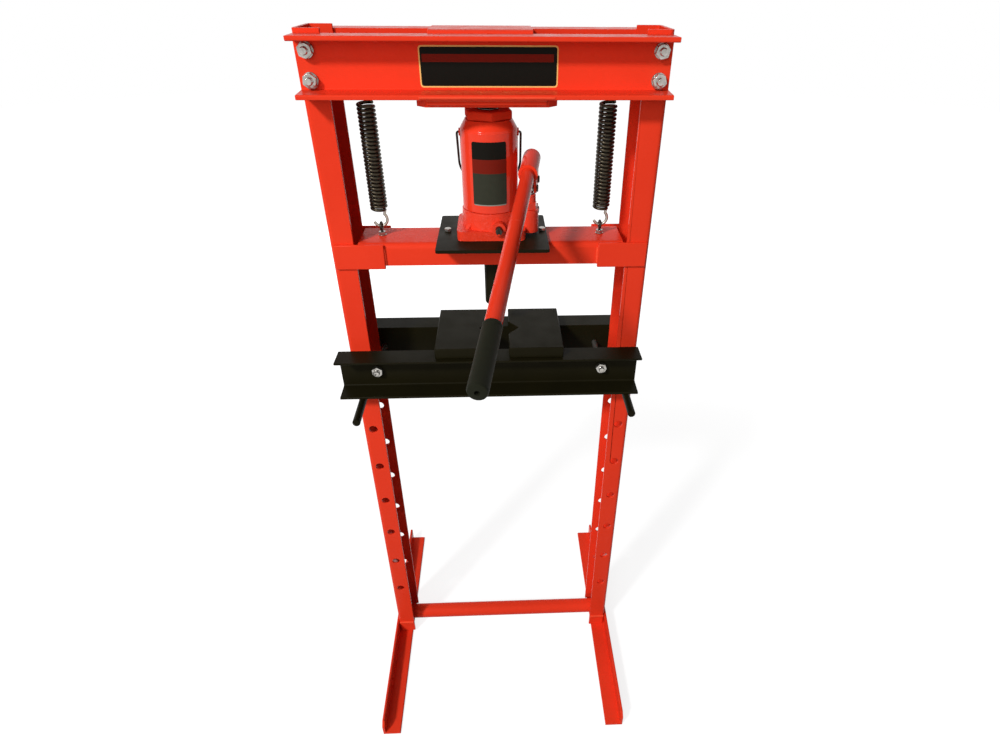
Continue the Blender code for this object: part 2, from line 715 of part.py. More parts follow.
def build_beam_bolts():
    grip = UPRIGHT_WALL + SEAT_GAP + CHANNEL_WEB + SEAT_GAP + SEAT_GAP
    mesh = hex_bolt_mesh("beam_bolt", BEAM_BOLT_DIAMETER, HEX_ACROSS_FLATS, HEX_HEAD_HEIGHT, grip, BOLT_TAIL)
    start = HALF_DEPTH - UPRIGHT_WALL - SEAT_GAP
    for face_name, face in FACES:
        for side_name, side in SIDES:
            for level, height in zip(("upper", "lower"), BEAM_BOLT_HEIGHTS):
                name = "beam_bolt_" + face_name + "_" + side_name + "_" + level
                turn = (math.radians(-90.0 * face), 0.0, 0.0)
                put(name, mesh.copy(), "zinc", (side * BEAM_BOLT_X, face * start, height), ROOT, turn)


def build_crosshead():
    half_x = HALF_WIDTH - UPRIGHT_FLANGE - CROSSHEAD_SIDE_GAP
    half_y = HALF_DEPTH
    foot = CROSSHEAD_TOP - CROSSHEAD_HEIGHT
    wall = CROSSHEAD_WALL
    inside = CROSSHEAD_BEND_RADIUS - wall
    corners = [(-half_y, foot, 0), (-half_y, CROSSHEAD_TOP, CROSSHEAD_BEND_RADIUS),
               (half_y, CROSSHEAD_TOP, CROSSHEAD_BEND_RADIUS), (half_y, foot, 0),
               (half_y - wall, foot, 0), (half_y - wall, CROSSHEAD_TOP - wall, inside),
               (-half_y + wall, CROSSHEAD_TOP - wall, inside), (-half_y + wall, foot, 0)]
    mesh = outline_mesh("crosshead_body", corners, half_x * 2, ALONG_X)
    part = put("crosshead_body", mesh, "red", (0.0, 0.0, 0.0), ROOT)
    low = CROSSHEAD_TOP - wall - CUT_OVERRUN
    high = CROSSHEAD_TOP + CUT_OVERRUN
    for name, side in SIDES:
        radius = EYE_WIRE / 2 + SEAT_GAP
        cut(part, rod_mesh(name + "_eye_hole", radius, (side * SPRING_X, 0.0, low),
                           (side * SPRING_X, 0.0, high), SMALL_STEPS))
        radius = BASE_BOLT_DIAMETER / 2 + SEAT_GAP
        cut(part, rod_mesh(name + "_jack_bolt_hole", radius, (bolt_x(side), 0.0, low),
                           (bolt_x(side), 0.0, high), SMALL_STEPS))
    middle_x = (STRAP_OUTER_X + STRAP_INNER_X) / 2
    for face_name, face in FACES:
        for side_name, side in SIDES:
            name = "guide_strap_" + face_name + "_" + side_name
            mesh = block_mesh(name, (STRAP_WIDTH, STRAP_THICKNESS, STRAP_HEIGHT))
            place = (side * middle_x, face * (HALF_DEPTH + SEAT_GAP + STRAP_THICKNESS / 2),
                     CROSSHEAD_TOP - STRAP_HEIGHT / 2)
            strap = put(name, mesh, "red", place, ROOT)
            soften(strap, STRAP_EDGE, 1)
    # The ram hangs from the underside of the crosshead's top plate, with a collar at its head.
    seat = CROSSHEAD_TOP - wall - SEAT_GAP
    radius = RAM_DIAMETER / 2
    collar = RAM_COLLAR_DIAMETER / 2
    neck = seat - RAM_COLLAR_HEIGHT
    tip = RAM_TIP_CHAMFER
    turned("press_ram", [(0.0, seat), (collar, seat), (collar, neck), (radius, neck),
                         (radius, RAM_TIP_Z + tip), (radius - tip * (1.0 - math.cos(RAM_TIP_TURN)),
                                                     RAM_TIP_Z + tip * (1.0 - math.sin(RAM_TIP_TURN))),
                         (radius - tip, RAM_TIP_Z), (0.0, RAM_TIP_Z)], "black", (0.0, 0.0, 0.0), ROOT)


def build_spring_anchors():
    # Each anchor is a rod that spans the gap between the two beams' backs.
    reach = CHANNEL_BACK_Y - SEAT_GAP
    for name, side in SIDES:
        mesh = rod_mesh(name + "_spring_anchor", ANCHOR_DIAMETER / 2, (0.0, -reach, 0.0), (0.0, reach, 0.0),
                        SMALL_STEPS)
        put(name + "_spring_anchor", mesh, "red", (side * SPRING_X, 0.0, ANCHOR_Z), ROOT)


def eye_middle_z():
    nut_top = (CROSSHEAD_TOP + SEAT_GAP + EYE_WASHER_THICKNESS + EYE_NUT_HEIGHT)
    return nut_top + EYE_SHANK_ABOVE_NUT + EYE_RADIUS


def build_eye_bolts():
    top = CROSSHEAD_TOP + SEAT_GAP
    middle = eye_middle_z()
    washer_top = top + EYE_WASHER_THICKNESS
    under = CROSSHEAD_TOP - CROSSHEAD_WALL - SEAT_GAP
    for name, side in SIDES:
        ring = [(0.0, EYE_RADIUS * math.sin(math.tau * step / EYE_RING_POINTS),
                 EYE_RADIUS * math.cos(math.tau * step / EYE_RING_POINTS)) for step in range(EYE_RING_POINTS)]
        mesh = wire_mesh(name + "_eye_bolt", ring, EYE_WIRE / 2, 1, Matrix.Translation((0.0, 0.0, middle)),
                         closed=True)
        part = put(name + "_eye_bolt", mesh, "zinc", (side * SPRING_X, 0.0, 0.0), ROOT)
        shank_top = middle - EYE_RADIUS - EYE_SHANK_SINK
        nut_radius = EYE_NUT_FLATS / math.sqrt(3.0)
        place = (side * SPRING_X, 0.0, 0.0)
        tail = under - EYE_NUT_HEIGHT - EYE_TAIL
        add(part, rod_mesh(name + "_eye_shank", EYE_SHANK_DIAMETER / 2, (0.0, 0.0, tail),
                           (0.0, 0.0, shank_top), SMALL_STEPS), place)
        add(part, rod_mesh(name + "_eye_washer", EYE_WASHER_DIAMETER / 2, (0.0, 0.0, top),
                           (0.0, 0.0, washer_top), SMALL_STEPS), place)
        add(part, rod_mesh(name + "_eye_nut", nut_radius, (0.0, 0.0, washer_top - SEAT_GAP),
                           (0.0, 0.0, washer_top + EYE_NUT_HEIGHT), 6), place)
        add(part, rod_mesh(name + "_eye_lock_nut", nut_radius, (0.0, 0.0, under - EYE_NUT_HEIGHT),
                           (0.0, 0.0, under), 6), place)


def spring_points():
    # Hook, close-wound coil and hook as one unbroken wire, drawn about the spring's own axis.
    radius = (SPRING_COIL_DIAMETER - SPRING_WIRE) / 2
    wire = SPRING_WIRE / 2
    upper = ANCHOR_Z + ANCHOR_DIAMETER / 2 + SEAT_GAP + wire - SPRING_HOOK_RADIUS
    eye_top = eye_middle_z() + EYE_RADIUS - EYE_WIRE / 2
    lower = eye_top - SEAT_GAP - wire + SPRING_HOOK_RADIUS
    points = []
    sweep = SPRING_HOOK_END - SPRING_HOOK_START
    # Each hook lies in the X-Z plane, starts at the coil's side and stops with its mouth open.
    for step in range(SPRING_HOOK_POINTS + 1):
        angle = SPRING_HOOK_END - sweep * step / SPRING_HOOK_POINTS
        across, along = SPRING_HOOK_RADIUS * math.sin(angle), SPRING_HOOK_RADIUS * math.cos(angle)
        points.append((across, 0.0, upper - along))
    count = SPRING_TURNS * SPRING_POINTS_PER_TURN
    rise = SPRING_TOP_Z - SPRING_FOOT_Z
    for step in range(count + 1):
        share = step / count
        angle = math.tau * SPRING_TURNS * share
        ease = min(1.0, step / (SPRING_POINTS_PER_TURN / 2), (count - step) / (SPRING_POINTS_PER_TURN / 2))
        reach = radius * (SPRING_NECK_SHARE + (1.0 - SPRING_NECK_SHARE) * ease)
        points.append((reach * math.cos(angle), reach * math.sin(angle), SPRING_TOP_Z - rise * share))
    for step in range(SPRING_HOOK_POINTS + 1):
        angle = SPRING_HOOK_START + sweep * step / SPRING_HOOK_POINTS
        across, along = SPRING_HOOK_RADIUS * math.sin(angle), SPRING_HOOK_RADIUS * math.cos(angle)
        points.append((across, 0.0, lower + along))
    return points


def least_self_gap(points, wire, skip):
    least = 1.0
    rows = [Vector(point) for point in points]
    for first in range(len(rows)):
        for second in range(first + skip, len(rows)):
            if abs(rows[first].z - rows[second].z) < SPRING_WIRE * 3:
                gap = (rows[first] - rows[second]).length - wire
                least = min(least, gap)
    return least


def build_springs():
    points = spring_points()
    gap = least_self_gap(points, SPRING_WIRE, SPRING_POINTS_PER_TURN // 2)
    print("least gap of a spring's wire to itself: %.2f mm" % (gap * 1000))
    for name, side in SIDES:
        mesh = wire_mesh(name + "_return_spring", points, SPRING_WIRE / 2, 1)
        put(name + "_return_spring", mesh, "black", (side * SPRING_X, 0.0, 0.0), ROOT)


def bolt_x(side):
    # Each bolt stands beside the jack's foot, inside the margin of its seat.
    return JACK_BASE_RIGHT + BASE_BOLT_RIGHT_GAP if side > 0.0 else -JACK_BASE_LEFT - BASE_BOLT_LEFT_GAP


def build_jack_seat():
    left = -JACK_BASE_LEFT - BASE_PLATE_LEFT_MARGIN
    right = JACK_BASE_RIGHT + BASE_PLATE_RIGHT_MARGIN
    half_x = (right - left) / 2
    half_y = BASE_PLATE_DEPTH / 2
    corner = BASE_PLATE_CORNER
    corners = [(-half_x, -half_y, corner), (half_x, -half_y, corner), (half_x, half_y, corner),
               (-half_x, half_y, corner)]
    mesh = outline_mesh("jack_base_plate", corners, BASE_PLATE_THICKNESS)
    middle = (BASE_PLATE_BOTTOM + BASE_PLATE_TOP) / 2
    part = put("jack_base_plate", mesh, "black", ((left + right) / 2, BASE_PLATE_OFFSET_Y, middle), ROOT)
    for name, side in SIDES:
        cut(part, rod_mesh(name + "_plate_bolt_hole", BASE_BOLT_DIAMETER / 2 + SEAT_GAP,
                           (bolt_x(side), 0.0, BASE_PLATE_BOTTOM - CUT_OVERRUN),
                           (bolt_x(side), 0.0, BASE_PLATE_TOP + CUT_OVERRUN), SMALL_STEPS))
        # A bolt through the plate and the crosshead's top keeps the plate in place.
        seat = BASE_PLATE_TOP + SEAT_GAP
        head = BASE_BOLT_FLATS / math.sqrt(3.0)
        under = CROSSHEAD_TOP - CROSSHEAD_WALL - SEAT_GAP
        bolt = put("jack_bolt_" + name,
                   rod_mesh("jack_bolt_" + name, BASE_BOLT_DIAMETER / 2,
                            (0.0, 0.0, under - BASE_BOLT_HEAD_HEIGHT - BASE_BOLT_TAIL),
                            (0.0, 0.0, seat + BASE_BOLT_HEAD_HEIGHT / 2), SMALL_STEPS), "zinc",
                   (bolt_x(side), 0.0, 0.0), ROOT)
        place = (bolt_x(side), 0.0, 0.0)
        add(bolt, rod_mesh(name + "_bolt_head", head, (0.0, 0.0, seat),
                           (0.0, 0.0, seat + BASE_BOLT_HEAD_HEIGHT), 6), place)
        add(bolt, rod_mesh(name + "_bolt_nut", head, (0.0, 0.0, under - BASE_BOLT_HEAD_HEIGHT),
                           (0.0, 0.0, under), 6), place)


def build_jack():
    jack = empty("jack_foot", (0.0, 0.0, JACK_Z), 0.0, ROOT)
    pump = empty("pump_axis", (PUMP_X, PUMP_Y, 0.0), PUMP_YAW, jack)
    # Cast base: a plinth with drafted ribs, the ring that takes the cylinder, and the pump's boss.
    corner = JACK_BASE_CORNER
    corners = [(-JACK_BASE_LEFT, -JACK_BASE_FRONT, corner), (JACK_BASE_RIGHT, -JACK_BASE_FRONT, corner),
               (JACK_BASE_RIGHT, JACK_BASE_REAR, corner), (-JACK_BASE_LEFT, JACK_BASE_REAR, corner)]
    mesh = outline_mesh("jack_base", corners, JACK_BASE_PLINTH)
    base = put("jack_base", mesh, "red", (0.0, 0.0, JACK_BASE_PLINTH / 2), jack)
    ring = JACK_RING_DIAMETER / 2

    def ring_build(shape):
        bmesh.ops.create_cone(shape, cap_ends=True, segments=ROUND_STEPS, radius1=ring,
                              radius2=ring - JACK_RING_DRAFT, depth=JACK_RING_TOP)
        bmesh.ops.translate(shape, vec=(0.0, 0.0, JACK_RING_TOP / 2), verts=shape.verts)
    add(base, mesh_from(ring_build, "jack_ring"))
    boss = PUMP_BOSS_DIAMETER / 2
    # The pump's housing hangs a little clear of the seat below it.
    foot = PUMP_BOSS_FOOT
    add(base, rod_mesh("pump_boss", boss, pump_point((0.0, 0.0, foot)), pump_point((0.0, 0.0, JACK_RING_TOP)),
                       ROUND_STEPS))
    lug_top = LINK_FOOT_Z + CHEEK_END_RADIUS
    lug_width = LINK_WIDTH + (CHEEK_GAP + CHEEK_THICKNESS) * 2
    lug = block_mesh("link_lug", (lug_width, LUG_BASE_DEPTH, lug_top - foot),
                     (0.0, PIVOT_SPACING - LUG_BACK_SHIFT, (lug_top + foot) / 2))
    lug.transform(pump_matrix())
    add(base, lug)
    web_top = JACK_RING_TOP - JACK_RING_DRAFT
    web = block_mesh("pump_web", (PUMP_X, boss, web_top - foot), (PUMP_X / 2, PUMP_Y, (web_top + foot) / 2))
    add(base, web)
    for name, side in SIDES:
        for face_name, face in FACES:
            run = [(0.0, 0.0, 0), (RIB_RUN_X, 0.0, 0), (0.0, JACK_RING_TOP - RIB_WIDTH, 0)]
            rib = outline_mesh("base_rib_" + name + face_name, run, RIB_WIDTH, ALONG_Y)
            angle = math.atan2(face * JACK_BASE_FRONT, side * JACK_BASE_LEFT)
            out = Matrix.Translation((ring - RIB_WIDTH * 2, 0.0, 0.0))
            rib.transform(Matrix.Rotation(angle, 4, "Z") @ out)
            add(base, rib)
    valve_front = -JACK_BASE_FRONT - VALVE_BOSS_LENGTH
    add(base, rod_mesh("valve_boss", VALVE_BOSS_DIAMETER / 2, (VALVE_X, -ring + VALVE_BOSS_DIAMETER, VALVE_Z),
                       (VALVE_X, valve_front, VALVE_Z), ROUND_STEPS))
    # Bores: the piston's well, the valve's seat, the pump barrel's seat and the link's slot.
    cut(base, rod_mesh("piston_well", PISTON_DIAMETER / 2 + RUN_GAP, (0.0, 0.0, PISTON_BORE_FLOOR),
                       (0.0, 0.0, JACK_RING_TOP + CUT_OVERRUN), ROUND_STEPS))
    cut(base, rod_mesh("valve_well", VALVE_DIAMETER / 2 + SEAT_GAP,
                       (VALVE_X, valve_front - CUT_OVERRUN, VALVE_Z),
                       (VALVE_X, valve_front + VALVE_SEAT_DEPTH + SEAT_GAP, VALVE_Z), SMALL_STEPS))
    well_floor = pump_point((0.0, 0.0, BARREL_FOOT - SEAT_GAP))
    well_top = pump_point((0.0, 0.0, JACK_RING_TOP + CUT_OVERRUN))
    cut(base, rod_mesh("barrel_well", BARREL_DIAMETER / 2 + RUN_GAP, well_floor, well_top, ROUND_STEPS))
    slot_front = PIVOT_SPACING - LINK_END_RADIUS - RUN_GAP
    slot_rear = PIVOT_SPACING + LUG_BASE_DEPTH
    slot_floor = LINK_FOOT_Z - LINK_END_RADIUS - RUN_GAP
    slot_top = lug_top + CUT_OVERRUN
    slot_size = (LINK_WIDTH + CHEEK_GAP * 2, slot_rear - slot_front, slot_top - slot_floor)
    slot_middle = (0.0, (slot_front + slot_rear) / 2, (slot_floor + slot_top) / 2)
    slot = block_mesh("link_slot", slot_size, slot_middle)
    slot.transform(pump_matrix())
    cut(base, slot)
    pin = PIVOT_PIN_DIAMETER / 2 + SEAT_GAP
    half = LINK_WIDTH / 2 + CHEEK_GAP + CHEEK_THICKNESS + CUT_OVERRUN
    cut(base, rod_mesh("lug_pin_hole", pin, pump_point((-half, PIVOT_SPACING, LINK_FOOT_Z)),
                       pump_point((half, PIVOT_SPACING, LINK_FOOT_Z)), SMALL_STEPS))
    build_cylinder(jack)
    build_pump(pump)


def build_cylinder(jack):
    foot = JACK_RING_TOP + SEAT_GAP
    outer = CYLINDER_DIAMETER / 2
    neck = CYLINDER_NECK_DIAMETER / 2
    bore = PISTON_DIAMETER / 2 + RUN_GAP
    part = turned("jack_cylinder",
                  [(bore, CYLINDER_NECK_Z), (neck, CYLINDER_NECK_Z), (outer, CYLINDER_SHOULDER_Z),
                   (outer, foot), (bore, foot)], "red", (0.0, 0.0, 0.0), jack, steps=ROUND_STEPS * 2,
                  closed=True)
    # Two small ears carry the bail's bent ends.
    for name, side in SIDES:
        reach = outer + BAIL_EAR_REACH
        inside = outer - BAIL_EAR_HOLE_DEPTH
        add(part, rod_mesh(name + "_bail_ear", BAIL_EAR_DIAMETER / 2, (side * inside, 0.0, BAIL_Z),
                           (side * reach, 0.0, BAIL_Z), SMALL_STEPS))
        cut(part, rod_mesh(name + "_bail_hole", BAIL_WIRE / 2 + SEAT_GAP,
                           (side * (reach - BAIL_EAR_HOLE_DEPTH), 0.0, BAIL_Z),
                           (side * (reach + CUT_OVERRUN), 0.0, BAIL_Z), SMALL_STEPS // 2))
    cut(part, rod_mesh("filler_hole", FILLER_DIAMETER / 2 + SEAT_GAP,
                       (0.0, outer - FILLER_DEPTH - SEAT_GAP, FILLER_Z), (0.0, outer + CUT_OVERRUN, FILLER_Z),
                       SMALL_STEPS))
    head = outer + FILLER_HEAD
    flange = FILLER_FLANGE_DIAMETER / 2
    stem = FILLER_DIAMETER / 2
    turned("filler_plug", [(0.0, head), (flange, head), (flange, outer + SEAT_GAP), (stem, outer + SEAT_GAP),
                           (stem, outer - FILLER_DEPTH), (0.0, outer - FILLER_DEPTH)], "rubber",
           (0.0, 0.0, FILLER_Z), jack, (math.radians(-90.0), 0.0, 0.0), SMALL_STEPS)
    # Cap nut, piston and saddle
    cap_foot = CYLINDER_NECK_Z + SEAT_GAP
    cap = put("jack_cap_nut", rod_mesh("jack_cap_nut", CAP_NUT_FLATS / math.sqrt(3.0), (0.0, 0.0, cap_foot),
                                       (0.0, 0.0, CAP_NUT_TOP), 6, CAP_NUT_TURN),
              "red", (0.0, 0.0, 0.0), jack)
    soften(cap, CAP_NUT_CHAMFER, 1)
    cut(cap, rod_mesh("cap_bore", bore, (0.0, 0.0, cap_foot - CUT_OVERRUN),
                      (0.0, 0.0, CAP_NUT_TOP + CUT_OVERRUN), ROUND_STEPS))
    top = THRUST_PLATE_BOTTOM - SEAT_GAP - JACK_Z
    saddle = SADDLE_DIAMETER / 2
    rod = PISTON_DIAMETER / 2
    turned("jack_piston", [(0.0, PISTON_TOP), (rod, PISTON_TOP), (rod, PISTON_FOOT), (0.0, PISTON_FOOT)],
           "chrome", (0.0, 0.0, 0.0), jack)
    seat = PISTON_TOP + SEAT_GAP
    turned("jack_saddle", [(0.0, top), (saddle - SADDLE_EDGE, top), (saddle, top - SADDLE_EDGE),
                           (saddle, seat + SADDLE_EDGE), (saddle - SADDLE_EDGE, seat), (0.0, seat)], "dark",
           (0.0, 0.0, 0.0), jack)
    # Release valve, a notched screw in the front boss
    valve_front = -JACK_BASE_FRONT - VALVE_BOSS_LENGTH
    valve_rear = VALVE_SEAT_DEPTH
    mesh = rod_mesh("release_valve", VALVE_DIAMETER / 2, (0.0, valve_rear, 0.0),
                    (0.0, valve_rear - VALVE_LENGTH, 0.0), SMALL_STEPS)
    valve = put("release_valve", mesh, "dark", (VALVE_X, valve_front, VALVE_Z), jack)
    notch = block_mesh("valve_notch", (VALVE_NOTCH_WIDTH, VALVE_NOTCH_DEPTH + CUT_OVERRUN,
                                       VALVE_DIAMETER + CUT_OVERRUN),
                       (0.0, valve_rear - VALVE_LENGTH + (VALVE_NOTCH_DEPTH - CUT_OVERRUN) / 2, 0.0))
    cut(valve, notch, (VALVE_X, valve_front, VALVE_Z))
    # Carry bail: a bent wire that hangs behind the cylinder
    inner = outer + BAIL_EAR_REACH - BAIL_EAR_HOLE_DEPTH + SEAT_GAP
    half = [(inner, 0.0), (BAIL_SIDE_X - BAIL_WIRE / 2, 0.0), (BAIL_SIDE_X, BAIL_WIRE)]
    side_points = [(-x, s) for x, s in half]
    for step in range(BAIL_POINTS + 1):
        angle = math.pi * step / BAIL_POINTS
        side_points.append((-BAIL_SIDE_X * math.cos(angle), BAIL_STRAIGHT + BAIL_DROP * math.sin(angle)))
    side_points += [(x, s) for x, s in reversed(half)]
    route = [(x, s * math.sin(BAIL_LEAN), -s * math.cos(BAIL_LEAN)) for x, s in side_points]
    mesh = wire_mesh("carry_bail", route, BAIL_WIRE / 2, 1)
    put("carry_bail", mesh, "black", (0.0, 0.0, BAIL_Z), jack)


def arm_length():
    # The rocker's arm swings as far above the level as below it, so its pin strays alike to both
    # sides of the plunger's axis.
    return PIVOT_SPACING * 2 / (1.0 + math.cos(ARM_DROP))


def plunger_pin_place():
    arm = arm_length()
    return PIVOT_SPACING - arm * math.cos(ARM_DROP), PIVOT_Z - arm * math.sin(ARM_DROP)


def build_pump(pump):
    # Barrel with a hexagon foot, its bore open at the top
    radius = BARREL_DIAMETER / 2
    mesh = rod_mesh("pump_barrel", radius, (0.0, 0.0, BARREL_FOOT), (0.0, 0.0, BARREL_TOP), ROUND_STEPS)
    barrel = put("pump_barrel", mesh, "red", (0.0, 0.0, 0.0), pump)
    seat = JACK_RING_TOP + SEAT_GAP
    add(barrel, rod_mesh("barrel_hex", BARREL_HEX_FLATS / math.sqrt(3.0), (0.0, 0.0, seat),
                         (0.0, 0.0, BARREL_HEX_TOP), 6))
    cut(barrel, rod_mesh("barrel_bore", PLUNGER_DIAMETER / 2 + SEAT_GAP,
                         (0.0, 0.0, PLUNGER_FOOT - CUT_OVERRUN), (0.0, 0.0, BARREL_TOP + CUT_OVERRUN),
                         ROUND_STEPS))
    # Plunger with a flat eye for the rocker's pin, which hangs below the fulcrum by the arm's drop
    pin_y, pin_z = plunger_pin_place()
    mesh = rod_mesh("pump_plunger", PLUNGER_DIAMETER / 2, (0.0, 0.0, PLUNGER_FOOT - pin_z), (0.0, 0.0, 0.0),
                    ROUND_STEPS)
    plunger = put("pump_plunger", mesh, "chrome", (0.0, 0.0, pin_z), pump)
    eye_half = PLUNGER_EYE_WIDTH / 2
    add(plunger, rod_mesh("plunger_eye", PLUNGER_EYE_DIAMETER / 2, (-eye_half, 0.0, 0.0),
                          (eye_half, 0.0, 0.0), ROUND_STEPS), (0.0, 0.0, pin_z))
    reach = eye_half + CUT_OVERRUN
    cut(plunger, rod_mesh("plunger_eye_hole", PIVOT_PIN_DIAMETER / 2 + PLUNGER_EYE_SLACK, (-reach, 0.0, 0.0),
                          (reach, 0.0, 0.0), SMALL_STEPS), (0.0, 0.0, pin_z))
    # Link between the base's lug and the rocker's fulcrum
    half = LINK_WIDTH / 2
    height = PIVOT_Z - LINK_FOOT_Z
    end = LINK_END_RADIUS
    corner = end * END_ROUND_SHARE
    outline = [(-end, end, corner), (-end, -height - end, corner), (end, -height - end, corner),
               (end, end, corner)]
    link = put("pump_link", outline_mesh("pump_link", outline, LINK_WIDTH, ALONG_X), "red",
               (0.0, PIVOT_SPACING, PIVOT_Z), pump)
    reach = half + CUT_OVERRUN
    for name, drop in (("upper", 0.0), ("lower", height)):
        cut(link, rod_mesh("link_hole_" + name, PIVOT_PIN_DIAMETER / 2 + SEAT_GAP, (-reach, 0.0, 0.0),
                           (reach, 0.0, 0.0), SMALL_STEPS), (0.0, PIVOT_SPACING, PIVOT_Z - drop))
    # Pins with a flat head on the outer side
    outer = half + CHEEK_GAP + CHEEK_THICKNESS + SEAT_GAP
    head = outer + PIVOT_PIN_HEAD_HEIGHT
    pins = (("fulcrum_pin", PIVOT_SPACING, PIVOT_Z), ("plunger_pin", pin_y, pin_z),
            ("link_foot_pin", PIVOT_SPACING, LINK_FOOT_Z))
    for name, along, high in pins:
        stem = PIVOT_PIN_DIAMETER / 2
        turned(name, [(0.0, head), (PIVOT_PIN_HEAD / 2, head), (PIVOT_PIN_HEAD / 2, outer), (stem, outer),
                      (stem, -outer), (0.0, -outer)], "zinc", (0.0, along, high), pump,
               (0.0, math.radians(90.0), 0.0), SMALL_STEPS)
    build_rocker(pump)


def build_rocker(pump):
    # The rocker turns about the fulcrum: its own frame has that pin at zero and the handle along -Y.
    place = (0.0, PIVOT_SPACING, PIVOT_Z)
    tilt = (HANDLE_DROP, 0.0, 0.0)
    radius = SOCKET_DIAMETER / 2
    bore = SOCKET_WALL_BORE / 2
    rise = SOCKET_RISE
    front = -PIVOT_SPACING - SOCKET_FRONT
    rear = SOCKET_REAR - PIVOT_SPACING
    rim = radius + SOCKET_RIM_PROUD
    profile = [(bore, -front), (rim, -front), (rim, -front - SOCKET_RIM), (radius, -front - SOCKET_RIM),
               (radius, -rear + SOCKET_ROUND),
               (radius - SOCKET_ROUND * EDGE_ROUND_SHARE, -rear + SOCKET_ROUND * EDGE_ROUND_SHARE),
               (radius - SOCKET_ROUND, -rear), (0.0, -rear), (0.0, -rear + SOCKET_FLOOR),
               (bore, -rear + SOCKET_FLOOR)]
    socket = turned("handle_socket", profile, "red", place, pump, closed=True)
    settle(socket)
    # The turned profile is spun about Z, then laid along -Y above the pins and tipped to the handle's drop.
    lay = Matrix.Translation((0.0, 0.0, rise)) @ Matrix.Rotation(math.radians(90.0), 4, "X")
    tip = Matrix.Rotation(HANDLE_DROP, 4, "X")
    socket.data.transform(tip @ lay)
    inner = PLUNGER_EYE_WIDTH / 2 + CHEEK_GAP
    end = CHEEK_END_RADIUS
    # The cheeks end inside the tube's wall, just outside its bore.
    top = rise - math.sqrt(bore * bore - inner * inner) - SOCKET_WEB_SINK
    along = -arm_length() * math.cos(ARM_DROP - HANDLE_DROP)
    lift = -arm_length() * math.sin(ARM_DROP - HANDLE_DROP)
    corner = end * END_ROUND_SHARE
    corners = [(along - end, top, 0), (along - end, lift - end, corner), (end, -end, corner), (end, top, 0)]
    for name, side in SIDES:
        cheek = outline_mesh("rocker_cheek_" + name, corners, CHEEK_THICKNESS, ALONG_X)
        add(socket, cheek, place)
        cheek.transform(tip @ Matrix.Translation((side * (inner + CHEEK_THICKNESS / 2), 0.0, 0.0)))
    reach = inner + CHEEK_THICKNESS + CUT_OVERRUN
    pin_y, pin_z = plunger_pin_place()
    for name, back, down in (("fulcrum", 0.0, 0.0), ("plunger", pin_y - PIVOT_SPACING, pin_z - PIVOT_Z)):
        cut(socket, rod_mesh("rocker_hole_" + name, PIVOT_PIN_DIAMETER / 2 + SEAT_GAP, (-reach, back, down),
                             (reach, back, down), SMALL_STEPS), place)
    # Handle tube and rubber grip, both turned about the socket's bore
    slip = SEAT_GAP
    start = rear - SOCKET_FLOOR - slip
    end_y = -PIVOT_SPACING - HANDLE_REACH
    outer = HANDLE_DIAMETER / 2
    inside = outer - HANDLE_WALL
    tube = turned("pump_handle", [(inside, -end_y - GRIP_END - slip), (outer, -end_y - GRIP_END - slip),
                                  (outer, -start), (inside, -start)], "red", place, pump, closed=True)
    settle(tube)
    tube.data.transform(tip @ lay)
    grip_in = outer + slip
    grip_out = grip_in + GRIP_WALL
    hole = GRIP_HOLE_DIAMETER / 2
    far = -end_y
    soft = GRIP_ROUND
    bend = soft * EDGE_ROUND_SHARE
    grip = turned("handle_grip", [(hole, far), (grip_out - soft, far), (grip_out - bend, far - bend),
                                  (grip_out, far - soft), (grip_out, far - GRIP_LENGTH),
                                  (grip_in, far - GRIP_LENGTH), (grip_in, far - GRIP_END),
                                  (hole, far - GRIP_END)],
                  "rubber", place, pump, closed=True)
    settle(grip)
    grip.data.transform(tip @ lay)


